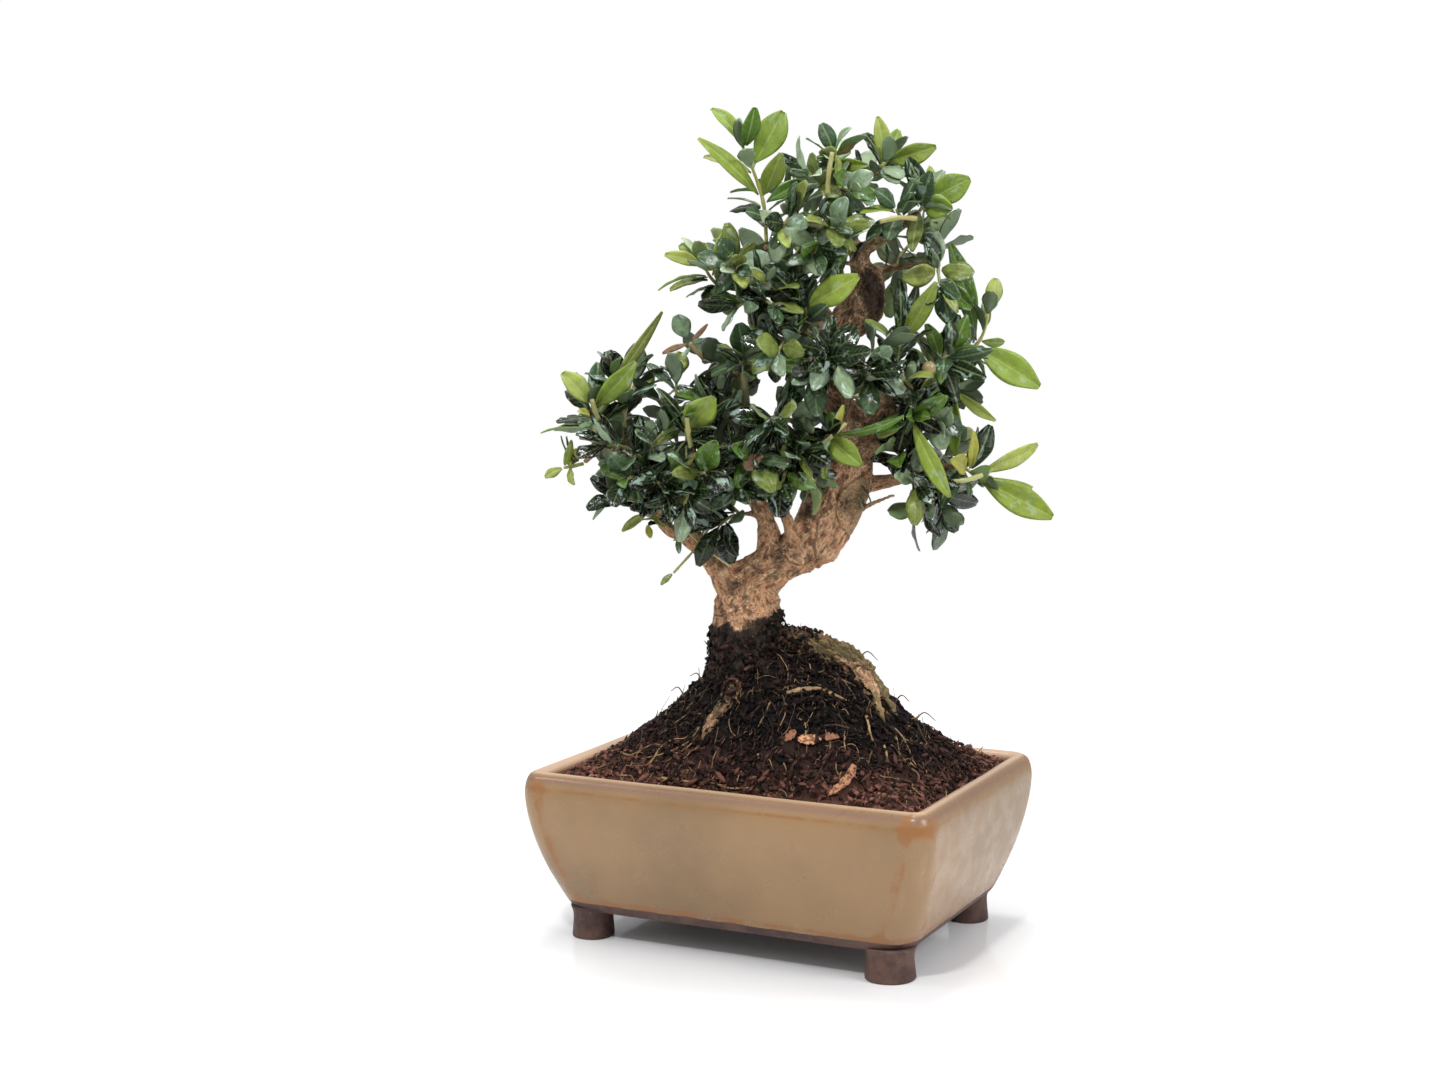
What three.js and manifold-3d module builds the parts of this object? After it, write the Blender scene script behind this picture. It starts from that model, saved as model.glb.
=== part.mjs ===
// A dwarf olive bonsai: a small tree on a mound of roots and peat, in a rectangular glazed pot.
// Units are millimetres, +Z is up, X runs along the pot's long side, and the pot's feet stand on Z = 0.
import * as THREE from "three";
import { LoftGeometry } from "three/addons/geometries/LoftGeometry.js";
import { mergeVertices } from "three/addons/utils/BufferGeometryUtils.js";
import Module from "manifold-3d";

const wasm = await Module();
wasm.setup();

// Pot sizes
const POT = {
  length: 170, // outside, at its widest just under the rim
  depth: 123,
  height: 67,
  footHeight: 11,
  widestAt: 58, // height of the widest line
  bottomInsetX: 13, // how far the wall has come in at the bottom
  bottomInsetY: 11.5,
  wallCurve: 1.8, // power of the wall's inward curve
  cornerAtRim: 8,
  cornerAtBottom: 12,
  wall: 8,
  floorTop: 18,
  rimWidth: 8.6,
  drainRadius: 6,
  drainSpacing: 64,
};
const CORNER_STEPS = 3;
const FOOT_X = 63;
const FOOT_Y = 42;
const FOOT_TOP = 15.5;
const FEET = [
  { side: -1, end: -1, radius: 8.3 },
  { side: 1, end: -1, radius: 9.6 },
  { side: 1, end: 1, radius: 8.0 },
  { side: -1, end: 1, radius: 8.6 },
];

// Soil sizes: the peat and root ball stand up round the foot of the trunk
const GAP = 0.3; // clearance between pieces that touch on the real plant
const SOIL_EDGE = 62.5;
const MOUND = {
  x: 2, y: 1, reachX: 46, reachY: 37, rise: 52.5, steep: 2.8, // middle, reach and height of its bell shape
  ovalX: 72, ovalY: 50, sideParts: 3,
};

// The pot stands turned against the viewer, and the tree is measured in the viewer's own upright plane
const POT_TURN = THREE.MathUtils.degToRad(26.3);
const EYE = { right: -23, distance: 854, up: 257 };

// Leaves and twigs
const LEAF_THICK = 0.95;
const LEAF_BULGE = 0.07; // height of a blade's arch as a part of its length
const LONG_LEAF = 20; // blades longer than this get one more ring of points
const LEAF_FOLD = 0.16; // how far the blade's halves are raised beside the midrib
const STEM_RADIUS = 0.75;
const TWIG_RADIUS = 1.15;
const SHORTEST_TWIG = 8;
const BARE_SHARE = 0.36; // part of an ordinary spray's reach that is bare twig
const STEM_BOW = 0.1; // upward bow of a stem as a part of its length
const FORK_PLACE = 0.12; // where a spray's further stems leave its first one
const CLEAR_OTHER = 2.0; // least distance between blades of different sprays
const CLEAR_OWN = 1.3; // and between blades of one spray
const CLEAR_WOOD = 1.2;
const SAMPLE_STEP = 2.0; // spacing of the points that a blade is tested by
const PAIR_PLACES = [0.5, 0.93]; // where pairs of leaves sit along an ordinary stem
const PAIR_STAGGER = 0.14; // the second leaf of a pair sits this much lower
const DARK_LEAF = { length: 16.5, width: 8.4 };

// A blade that isn't clear is tried again: on a shoot turned by degrees, shortened and pushed away,
// on an ordinary stem swung round it and closed towards it by radians, and shortened
const SHOOT_TRIES = [
  [0, 1, 0], [20, 1, 0], [-20, 1, 0], [35, 1, 4], [-35, 1, -4], [10, 0.9, 8], [-10, 0.9, -8], [0, 0.8, 12],
  [0, 0.8, -12],
];
const SPRAY_TRIES = [
  [0, 0, 1], [0.5, 0, 1], [-0.5, 0, 1], [0.9, 0.2, 0.9], [-0.9, 0.2, 0.9], [0.3, -0.4, 0.8], [1.4, 0, 0.8],
];

// Limbs, as [right, away, up, radius] seen from the viewer's side
const LIMBS = {
  trunk: [
    [-13, 0, 76, 20], [-14, 0, 92, 17], [-14, 0, 107, 14.8], [-14, 0, 120, 14.3], [-13.5, 0, 130, 13.2],
    [-11, -1, 138.5, 10.4], [-2, -2, 146, 8.8], [6, -2, 151, 9.2], [13, -2, 156, 11.2], [18.5, -1, 166, 11.8],
    [21.8, 0, 176.5, 12.8], [24.8, 0, 187, 11], [25.5, 0, 196, 9.4], [23.5, 0, 205, 6.8], [18.5, 0, 214, 6],
    [17, 0, 226, 5.8], [23, 0, 236, 7], [31, 1, 246, 9.2], [33.5, 1, 254.5, 6.6], [30.5, 0, 261, 4.6],
    [29.5, 0, 270, 3.2],
  ],
  left_branch: [
    [-15, -1, 132, 9], [-24, -3, 144, 5.8], [-31.5, -4, 152, 4], [-38, -5, 156.5, 2.9],
    [-46, -6, 161.5, 2.7], [-52, -6, 177, 2.9], [-61.5, -8, 188.5, 3.2], [-69, -9, 194, 2.4],
  ],
  left_arm: [
    [-26, -4, 145, 3.4], [-31, -5, 154, 2.2], [-35, -8, 161.5, 2], [-36.5, -12, 176, 1.9],
    [-36.5, -15, 187, 1.8],
  ],
  middle_branch: [
    [-6, -1, 141, 7], [-5.5, -4, 155, 4.6], [-7, -6, 165, 3.7], [-12, -8, 175, 3.2], [-16, -10, 185, 2.7],
    [-14, -12, 207, 1.9], [-15, -13, 220, 1.5],
  ],
  inner_branch: [
    [7, -3, 149, 6], [3, -8, 160.5, 2.6], [0.5, -10, 169, 2.1], [-1.5, -14, 188, 1.8], [-2.5, -18, 202, 1.5],
  ],
  right_arm: [
    [26, 0, 190, 8], [34.5, 1, 197, 6.5], [40, 2, 207, 5.4], [49, 2, 213.5, 4.6], [57, 0, 222, 3.9],
  ],
  low_right: [[26, 1, 177, 5], [36, 4, 177.5, 3.4], [53, 8, 181, 2.2], [64, 8, 184, 1.7]],
  stub: [[28, -4, 166, 2], [34, -9, 169, 1.1], [44, -14, 173, 0.9]],
  upper_left: [
    [18, -1, 227, 4.4], [8, -6, 236, 2.4], [-4, -8, 244, 2], [-12, -8, 252, 1.9], [-10, -10, 259, 1.7],
    [-6.5, -11, 264, 1.5],
  ],
  front_riser: [
    [24, -4, 196, 3.6], [24.5, -13, 207, 2.2], [24, -15, 221, 1.9], [14, -16, 230, 1.6], [9.5, -16, 236, 1.5],
  ],
  right_top: [[29.5, 0, 266, 3.4], [38, -2, 272, 2.6], [46, -4, 277, 2.2], [51, -5, 280.5, 2.2]],
  left_top: [[29, 0, 267, 3.2], [17, -3, 274, 2.1], [9.5, -5, 278, 2]],
  crown: [[29, 1, 267, 3.2], [24.5, 2, 276, 2.6], [19.5, 2, 285, 2.3], [20, 1, 297, 1.7]],
  crown_right: [[20, 2, 286, 2], [29, 1, 293, 1.4], [36, 0, 296.5, 1.2]],
  side_right: [[28, 1, 257, 3.4], [41, 3, 260.5, 1.9], [52, 2, 261.5, 1.4]],
  back_low: [[-4, 4, 146, 7], [-6, 20, 162, 3.6], [-14, 34, 176, 2.6], [-18, 42, 188, 1.9]],
  back_middle: [[25, 3, 186, 7], [26, 22, 199, 3.6], [20, 38, 212, 2.6], [14, 47, 222, 1.9]],
  back_right: [[27, 3, 194, 6], [42, 20, 206, 3], [52, 33, 214, 2]],
  back_high: [[20, 2, 236, 5], [14, 17, 246, 2.6], [7, 28, 254, 1.9]],
};

// Surface roots, as [right, away, radius, depth], each lying on the mound with its middle line sunk by that
// share of its radius
const ROOTS = {
  arch: [
    [-4, -2, 7, -0.1], [5, -5, 5.2, -0.1], [15, -8, 7, -0.1], [25, -9.5, 6.4, -0.1],
    [32.5, -11.5, 5.6, -0.1], [38, -14, 3.8, 0], [43, -17, 2.2, 0.3], [48, -19, 1.2, 0.8],
  ],
  arch_fork: [
    [27, -11, 3.6, 0], [32.5, -16, 2.6, -0.2], [36, -21, 2, -0.3], [39, -28, 1.4, -0.2],
  ],
  pale: [
    [-8, -12, 3.4, 0.6], [-5, -20, 2, 1.4], [-0.5, -26.3, 1.1, 0.6], [6, -26.8, 1.3, -0.4],
    [13.6, -27, 1.3, -0.5], [21.2, -27.6, 1.2, -0.5], [28.5, -26.6, 1, -0.2],
  ],
  left: [
    [-15, -9, 6, 0.5], [-17.5, -16, 4.2, 0.35], [-22, -20, 3.6, 0.25], [-27, -23.5, 3, 0.2],
    [-32, -26.5, 2, 0.3],
  ],
  back: [
    [-14, 8, 7, 0.25], [-18, 20, 4, 0.25], [-26, 30, 2.4, 0.25], [-36, 36, 1.5, 0.25],
  ],
  back_right: [
    [-4, 8, 6, 0.25], [8, 18, 3.8, 0.25], [20, 26, 2.4, 0.25], [32, 30, 1.5, 0.25],
  ],
};

// Young bright shoots, read one by one: the limb point each grows from, its leafy stem, and its leaves as
// [place along the stem, tip, width, roll away from facing the viewer]
const SHOOTS = {
  crown_left_shoot: {
    from: [-6.5, -11, 264],
    stem: [[-6, -12, 270], [-7, -13, 285], [-11, -14, 298], [-15, -15, 307]],
    leaves: [
      [0.38, [-34, -20, 311], 7, 15], [1, [-27, -12, 323], 6.5, 25], [0.96, [-10, -22, 323], 7, 20],
      [0.7, [1, -10, 321], 11.5, 10], [0.4, [0, -24, 306], 8.5, 20], [0.3, [-21, -6, 283], 6.5, 35],
      [0.62, [-31, -5, 303], 5, 30], [0.2, [-14, -20, 283], 5.5, 30], [0.34, [10, -2, 294], 6, 30],
    ],
  },
  left_top_shoot: {
    from: [-12, -8, 252],
    stem: [[-24, -12, 254], [-28, -13, 258], [-30, -14, 262]],
    leaves: [
      [1, [-40, -10, 271], 6.5, 15], [0.6, [-20, -2, 277], 6, 25], [0.9, [-46, -18, 267], 5, 30],
      [0.5, [-49, -20, 254], 4.5, 60], [0.7, [-24, -24, 268], 5, 35], [0.75, [-29, 2, 272], 7.5, 20],
      [0.1, [-29, -18, 247], 8, 15],
    ],
  },
  far_left_shoot: {
    from: [-69, -9, 194],
    stem: [[-72, -12, 198], [-73.5, -14, 203], [-74, -15, 208]],
    leaves: [
      [1, [-86, -20, 222], 8.5, 15], [0.9, [-56, -24, 225], 9, 30], [0.05, [-95, -18, 198], 4, 65],
      [0.8, [-45.5, -2, 246.5], 4.5, 60], [0.6, [-80, -24, 206], 3.5, 20], [0.95, [-71, -4, 226], 7, 25],
    ],
  },
  far_left_sprig: {
    from: [-69, -9, 194],
    stem: [[-77, -2, 186], [-82, -1, 184.5], [-85, 0, 184]],
    leaves: [
      [1, [-93, -4, 180], 4, 25], [0.8, [-79, 4, 192], 4.5, 20], [1, [-82, -8, 196], 3.5, 30],
      [0.6, [-81, -8, 177], 4, 40],
    ],
  },
  left_pad_shoot: {
    from: [-36.5, -15, 187],
    stem: [[-36.8, -20, 191], [-37, -24, 195], [-37.5, -27, 199]],
    leaves: [
      [1, [-26, -36, 212], 11.5, 12], [0.9, [-48, -30, 216], 6, 40], [0.9, [-16, -30, 213], 5, 50],
      [0.2, [-24, -34, 192], 6.5, 35],
    ],
  },
  centre_shoot: {
    from: [9.5, -16, 236],
    stem: [[9, -20, 239], [9, -22, 242], [9, -24, 245.5]],
    leaves: [
      [0.95, [-7, -28, 263], 8, 20], [1, [30, -34, 258], 10.5, 10], [0.8, [28, -18, 271], 5.5, 35],
      [0.15, [18, -34, 247], 6.5, 30], [0.1, [-3, -34, 238], 6, 40],
    ],
  },
  inner_left_shoot: {
    from: [-15, -13, 220],
    stem: [[-15, -16, 221.5], [-15, -18, 224], [-15, -19, 226]],
    leaves: [
      [1, [-17, -22, 241], 9.5, 8], [0.8, [-1, -26, 224], 4, 60], [0.6, [-26, -28, 231], 6, 40],
      [0.4, [-29, -14, 220], 7, 30],
    ],
  },
  crown_shoot: {
    from: [20, 1, 297],
    stem: [[20, -1, 298.5], [20, -2, 301], [20, -3, 304]],
    leaves: [
      [1, [14.5, -6, 316.5], 7.2, 15], [0.9, [29, -8, 310], 3.5, 35], [0.5, [34, -16, 300], 5, 40],
      [0.4, [12, 12, 304], 7, 30],
    ],
  },
  crown_right_shoot: {
    from: [36, 0, 296.5],
    stem: [[37.5, -1, 298], [38.5, -2, 299.5], [39.5, -2, 301]],
    leaves: [
      [0.6, [37, -6, 319], 6.5, 12], [1, [45, 4, 314], 6, 15], [1, [60, -8, 307], 8, 25],
      [0.2, [33, 8, 310], 5, 20], [0.5, [51, 14, 304], 6, 40],
    ],
  },
  right_top_shoot: {
    from: [51, -5, 280.5],
    stem: [[52.5, -7, 282], [54, -8, 284], [55.5, -9, 286.5]],
    leaves: [
      [0.9, [73, -14, 295], 11, 12], [0.6, [66, -20, 283], 9.5, 20], [0.3, [57, -22, 298], 8, 20],
      [0.8, [46, 0, 305], 7, 25], [0.9, [57, 6, 300], 6, 30], [0.1, [50, -20, 266], 6, 20],
    ],
  },
  right_top_inner: {
    from: [46, -4, 277],
    stem: [[46, -10, 279], [45, -13, 281], [44, -15, 283]],
    leaves: [
      [1, [36, -22, 291], 7, 20], [0.9, [29, -24, 281], 6, 55], [0.6, [50, -28, 290], 6, 40],
      [0.4, [40, -26, 272], 7, 25],
    ],
  },
  right_tall_shoot: {
    from: [57, 0, 222],
    stem: [[69, 4, 228], [75, 4, 231], [78, 4, 236], [79.5, 4, 243]],
    leaves: [
      [0.35, [63, 0, 272], 8.5, 15], [1, [83, 8, 258], 6.5, 10], [0.3, [101, -6, 214], 12, 10],
      [0.45, [86, 14, 232], 4, 30], [0.1, [72, -14, 240], 5, 40],
    ],
  },
  right_upper_shoot: {
    from: [40, 2, 207],
    stem: [[44.5, -8, 224], [45, -10, 228], [45.5, -11, 231]],
    leaves: [
      [1, [60, -20, 257], 8, 15], [0.9, [45, -8, 258], 6, 15], [1, [53, -2, 256], 6, 15],
      [0.3, [34, -26, 228], 7, 30],
    ],
  },
  right_knob_shoot: {
    from: [57, 0, 222],
    stem: [[60, -5, 224], [62, -9, 225.5], [64, -12, 227]],
    leaves: [
      [0.2, [56, -14, 240], 5.5, 20], [0.9, [72, -18, 243], 7, 25], [0.6, [82, -22, 229], 6, 35],
      [0.5, [80, -26, 218], 6, 30], [0.1, [68, -20, 208], 7, 20], [1, [66, -26, 240], 6, 40],
    ],
  },
  right_under_shoot: {
    from: [57, 0, 222],
    stem: [[62, 4, 218], [64.5, 5, 216], [66.5, 5, 214]],
    leaves: [
      [1, [67, -2, 187], 7, 20], [0.9, [84, 2, 201], 4, 35], [0.6, [78, 14, 208], 7, 30],
      [0.4, [60, 18, 202], 6.5, 30],
    ],
  },
  low_right_arch: {
    from: [49, 2, 213.5],
    stem: [[48, -8, 206], [49, -12, 204], [50, -15, 203]],
    leaves: [
      [1, [66, -22, 170], 7, 25], [0.8, [65, -24, 212], 7.5, 25], [0.4, [36, -20, 196], 7, 30],
    ],
  },
  low_right_shoot: {
    from: [64, 8, 184],
    stem: [[68, 5, 184], [71.5, 4, 183], [75, 3, 180]],
    leaves: [
      [1, [107, 0, 163], 11.5, 10], [0.95, [99, 14, 175], 6, 35], [0.7, [74, -6, 199], 4.5, 20],
      [0.75, [82, 8, 201], 8, 15], [0.5, [64, -12, 187], 8, 30], [0.9, [102, 18, 193], 6.5, 25],
      [0.3, [62, -4, 167], 7, 25],
    ],
  },
  front_bright_shoot: {
    from: [24.5, -13, 207],
    stem: [[20, -20, 199], [18.5, -22, 197], [17, -24, 196]],
    leaves: [
      [0.9, [31, -34, 184], 9, 15], [1, [16, -32, 178], 4, 30], [0.6, [49, -28, 203], 4.5, 60],
      [0.8, [24, -32, 209], 4.5, 35], [0.4, [4, -32, 196], 6.5, 30],
    ],
  },
};

// Ordinary dark sprays: the limb point each grows from and the tips of its leafy stems
const SPRAYS = {
  left_low: { from: [-46, -6, 161.5], tips: [[-63, -12, 172], [-58, 8, 176]] },
  left_front: { from: [-52, -6, 177], tips: [[-60, -28, 180], [-46, -30, 176]] },
  left_mid: { from: [-52, -6, 177], tips: [[-46, -26, 198], [-68, -26, 193]] },
  left_outer: { from: [-66, -8, 192], tips: [[-72, 14, 200], [-66, 18, 194]] },
  left_upper: { from: [-61.5, -8, 188.5], tips: [[-64, -12, 219], [-57, 4, 218]] },
  left_rear: { from: [-52, -6, 177], tips: [[-48, 22, 186], [-62, 20, 184]] },
  left_crest: { from: [-36.5, -12, 176], tips: [[-50, 4, 213], [-41, -4, 219]] },
  arm_front: { from: [-36.5, -12, 176], tips: [[-30, -36, 182], [-38, -32, 170]] },
  hanging_left: { from: [-7, -6, 165], tips: [[-25, -14, 161], [-26, -6, 172]] },
  middle_front: { from: [-16, -10, 185], tips: [[-24, -32, 192], [-10, -34, 186]] },
  middle_upper: { from: [-14, -12, 200], tips: [[-28, -16, 208], [-24, 4, 204]] },
  middle_low: { from: [-12, -8, 175], tips: [[-17, -30, 178], [-22, -20, 184]] },
  middle_crest: { from: [-15, -13, 218], tips: [[-30, -2, 226], [-16, 8, 223]] },
  inner_front: { from: [-1.5, -14, 186], tips: [[8, -32, 190], [0, -34, 178], [10, -22, 180]] },
  inner_right: { from: [-2.5, -18, 200], tips: [[6, -22, 202], [-6, -34, 202]] },
  centre_left: { from: [9.5, -16, 235], tips: [[-2, -34, 228], [-8, -20, 234]] },
  centre_hang: { from: [14, -16, 230], tips: [[12, -34, 220], [22, -36, 224]] },
  centre_high: { from: [8, -6, 236], tips: [[-4, -26, 254], [2, -12, 258]] },
  centre_right: { from: [24, -15, 221], tips: [[34, -26, 218], [40, -18, 231]] },
  arm_under: { from: [49, 2, 213.5], tips: [[60, -14, 202], [46, -22, 218]] },
  arm_back: { from: [49, 2, 213.5], tips: [[62, 18, 212], [66, 14, 228]] },
  low_front: { from: [53, 8, 181], tips: [[52, -12, 176], [44, -8, 190]] },
  low_back: { from: [53, 8, 181], tips: [[58, 28, 178], [68, 26, 190]] },
  low_hang: { from: [64, 8, 184], tips: [[52, 4, 167], [63, 2, 167]] },
  upper_left_low: { from: [-12, -8, 252], tips: [[-4, -26, 247], [-17, -20, 246]] },
  upper_left_high: { from: [-10, -10, 259], tips: [[-18, -26, 260], [-14, 8, 262]] },
  left_knob: { from: [9.5, -5, 278], tips: [[0, -20, 276], [2, -8, 288]] },
  crown_front: { from: [17, -3, 274], tips: [[12, -26, 266], [20, -26, 276]] },
  crown_mid: { from: [19.5, 2, 285], tips: [[10, -12, 296], [26, -16, 290]] },
  crown_back: { from: [19.5, 2, 285], tips: [[10, 20, 292], [28, 20, 294]] },
  neck_front: { from: [29.5, 0, 262], tips: [[13, -14, 257], [20, -18, 270]] },
  side_front: { from: [52, 2, 261.5], tips: [[61, -12, 254], [60, 8, 270]] },
  side_back: { from: [41, 3, 260.5], tips: [[44, 24, 256], [52, 20, 272]] },
  back_low_a: { from: [-14, 34, 176], tips: [[-30, 46, 184], [-26, 34, 194]] },
  back_low_b: { from: [-18, 42, 188], tips: [[-8, 56, 196], [-26, 56, 200]] },
  back_middle_a: { from: [20, 38, 212], tips: [[34, 50, 210], [18, 56, 204]] },
  back_middle_b: { from: [14, 47, 222], tips: [[10, 58, 236], [-4, 46, 230]] },
  back_right_a: { from: [52, 33, 214], tips: [[64, 46, 222], [52, 46, 204]] },
  back_high_a: { from: [7, 28, 254], tips: [[-6, 38, 264], [10, 34, 272]] },
};

const UP = new THREE.Vector3(0, 0, 1);

// Place of a point that the viewer sees at right and up in the plane through the trunk, away behind it
function seen([right, away, up]) {
  const scale = 1 + away / EYE.distance;
  return new THREE.Vector3(EYE.right + (right - EYE.right) * scale, away, EYE.up + (up - EYE.up) * scale);
}

// Even random numbers from a whole-number seed
function randomFrom(seed) {
  let state = seed >>> 0;
  return () => {
    state = (state + 0x6d2b79f5) >>> 0;
    let mixed = Math.imul(state ^ (state >>> 15), state | 1);
    mixed ^= mixed + Math.imul(mixed ^ (mixed >>> 7), mixed | 61);
    return ((mixed ^ (mixed >>> 14)) >>> 0) / 4294967296;
  };
}

// Solid of a closed geometry
function solidOf(geometry) {
  const bare = new THREE.BufferGeometry();
  bare.setAttribute("position", geometry.getAttribute("position"));
  bare.setIndex(geometry.index);
  const merged = mergeVertices(bare, 1e-4);
  const corners = [];
  for (let i = 0; i < merged.index.count; i += 3) {
    const [a, b, c] = [merged.index.getX(i), merged.index.getX(i + 1), merged.index.getX(i + 2)];
    if (a !== b && b !== c && c !== a) corners.push(a, b, c);
  }
  const mesh = new wasm.Mesh({
    numProp: 3,
    vertProperties: new Float32Array(merged.attributes.position.array),
    triVerts: new Uint32Array(corners),
  });
  return new wasm.Manifold(mesh);
}

// Closed loft through rings of points, each end drawn together to the middle of its ring
function loftSolid(rings) {
  const closing = (ring) => {
    const middle = ring.reduce((sum, point) => sum.add(point), new THREE.Vector3()).divideScalar(ring.length);
    return ring.map(() => middle.clone());
  };
  return solidOf(new LoftGeometry([closing(rings[0]), ...rings, closing(rings.at(-1))]));
}

// One solid from many, joined in pairs so that each join stays small
function joined(solids) {
  let row = solids;
  while (row.length > 1) {
    const next = [];
    for (let i = 0; i < row.length; i += 2) next.push(i + 1 < row.length ? row[i].add(row[i + 1]) : row[i]);
    row = next;
  }
  return row[0];
}

// The biggest of the bodies that a cut has left
function biggest(solid) {
  return solid.decompose().reduce((best, body) => (body.volume() > best.volume() ? body : best));
}

// Named mesh of a solid
function meshOf(name, solid, material) {
  const mesh = solid.getMesh();
  const geometry = new THREE.BufferGeometry();
  geometry.setAttribute("position", new THREE.BufferAttribute(new Float32Array(mesh.vertProperties), 3));
  geometry.setIndex(new THREE.BufferAttribute(new Uint32Array(mesh.triVerts), 1));
  const shown = new THREE.Mesh(geometry.toNonIndexed(), material);
  shown.geometry.computeVertexNormals();
  shown.name = name;
  return shown;
}

// Rounded rectangle as a ring of points at one height, each corner an arc and each side split evenly
function rectangleRing(halfX, halfY, corner, z, sideParts) {
  const ring = [];
  for (let quarter = 0; quarter < 4; quarter++) {
    const signX = quarter === 0 || quarter === 3 ? 1 : -1;
    const signY = quarter < 2 ? 1 : -1;
    for (let step = 0; step <= CORNER_STEPS; step++) {
      const angle = ((quarter + step / CORNER_STEPS) * Math.PI) / 2;
      const x = signX * (halfX - corner) + corner * Math.cos(angle);
      const y = signY * (halfY - corner) + corner * Math.sin(angle);
      ring.push(new THREE.Vector3(x, y, z));
    }
  }
  return ring.flatMap((point, i) => {
    const next = ring[(i + 1) % ring.length];
    const parts = (i + 1) % (CORNER_STEPS + 1) === 0 ? sideParts : 1;
    return Array.from({ length: parts }, (_, part) => point.clone().lerp(next, part / parts));
  });
}

// Outside of the pot wall at a height: half sizes and corner radius
function wallAt(z) {
  const drop = THREE.MathUtils.clamp((POT.widestAt - z) / (POT.widestAt - POT.footHeight), 0, 1);
  const curve = drop ** POT.wallCurve;
  return {
    halfX: POT.length / 2 - POT.bottomInsetX * curve,
    halfY: POT.depth / 2 - POT.bottomInsetY * curve,
    corner: THREE.MathUtils.lerp(POT.cornerAtRim, POT.cornerAtBottom, drop),
  };
}

function wallRing(z, inset, cornerLoss = inset, sideParts = 1) {
  const wall = wallAt(z);
  const corner = Math.max(1.5, wall.corner - cornerLoss);
  return rectangleRing(wall.halfX - inset, wall.halfY - inset, corner, z, sideParts);
}

// The fired pot with its four feet and two drain holes
function potSolid() {
  const outside = [
    wallRing(POT.footHeight, 3),
    wallRing(POT.footHeight + 1.5, 0.6),
    ...[18, 29, 43, POT.widestAt].map((z) => wallRing(z, 0)),
    wallRing(63, 0.7),
    wallRing(66, 2.4),
    wallRing(POT.height, 4.6, 3),
  ];
  const inside = [
    wallRing(66.2, 7.4, 5),
    wallRing(63.5, POT.rimWidth, 5.5),
    ...[44, 24].map((z) => wallRing(z, POT.wall, 5)),
    wallRing(POT.floorTop, POT.wall + 3, 5),
  ];
  const bowl = loftSolid([...outside, ...inside]);
  const feet = FEET.map(({ side, end, radius }) => {
    const foot = new THREE.CylinderGeometry(radius * 0.94, radius, FOOT_TOP, 14);
    foot.rotateX(Math.PI / 2);
    foot.translate(side * FOOT_X, end * FOOT_Y, FOOT_TOP / 2);
    return solidOf(foot);
  });
  const drains = [-0.5, 0.5].map((half) => {
    const drain = new THREE.CylinderGeometry(POT.drainRadius, POT.drainRadius, 40, 12);
    drain.rotateX(Math.PI / 2);
    drain.translate(half * POT.drainSpacing, 0, POT.floorTop);
    return solidOf(drain);
  });
  return joined([bowl, ...feet]).subtract(joined(drains));
}

// Height of the mound of peat over a point of the pot
function moundHeight(x, y) {
  const distance = Math.hypot((x - MOUND.x) / MOUND.reachX, (y - MOUND.y) / MOUND.reachY);
  const wall = wallAt(SOIL_EDGE);
  const edge = Math.max(Math.abs(x) / (wall.halfX - POT.rimWidth), Math.abs(y) / (wall.halfY - POT.rimWidth));
  const rise = (MOUND.rise / (1 + distance ** MOUND.steep)) * (1 - Math.min(1, edge) ** 6);
  const crumbs = 0.9 * Math.sin(x / 4.1 + 1.3 * Math.sin(y / 6)) * Math.cos(y / 3.7);
  return SOIL_EDGE + rise + crumbs * (1 - Math.min(1, edge) ** 8);
}

// Peat that fills the pot and stands up as the mound
function soilSolid() {
  const sections = [24, 44, SOIL_EDGE].map((z) => wallRing(z, POT.rimWidth + GAP, 5, MOUND.sideParts));
  sections.unshift(wallRing(POT.floorTop + GAP, POT.wall + 3 + 2 * GAP, 5, MOUND.sideParts));
  const rim = sections.at(-1);
  for (const share of [0.9, 0.78, 0.65, 0.52, 0.38, 0.2]) {
    sections.push(
      rim.map((point) => {
        const reach = new THREE.Vector2(point.x - MOUND.x, point.y - MOUND.y);
        const oval = 1 / Math.hypot(reach.x / MOUND.ovalX, reach.y / MOUND.ovalY);
        reach.multiplyScalar(share * THREE.MathUtils.lerp(oval, 1, share ** 4));
        const x = MOUND.x + reach.x;
        const y = MOUND.y + reach.y;
        return new THREE.Vector3(x, y, moundHeight(x, y));
      }),
    );
  }
  return loftSolid(sections);
}

// Smooth line through points, with the radius carried along
function limbLine(points, radii) {
  const line = new THREE.CatmullRomCurve3(points, false, "catmullrom", 0.5);
  const last = points.length - 1;
  return {
    place: (t) => line.getPoint(t),
    direction: (t) => line.getTangent(t),
    radius: (t) => {
      const along = Math.min(t * last, last - 1e-9);
      const step = Math.floor(along);
      return THREE.MathUtils.lerp(radii[step], radii[step + 1], along - step);
    },
    spans: last,
  };
}

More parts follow.
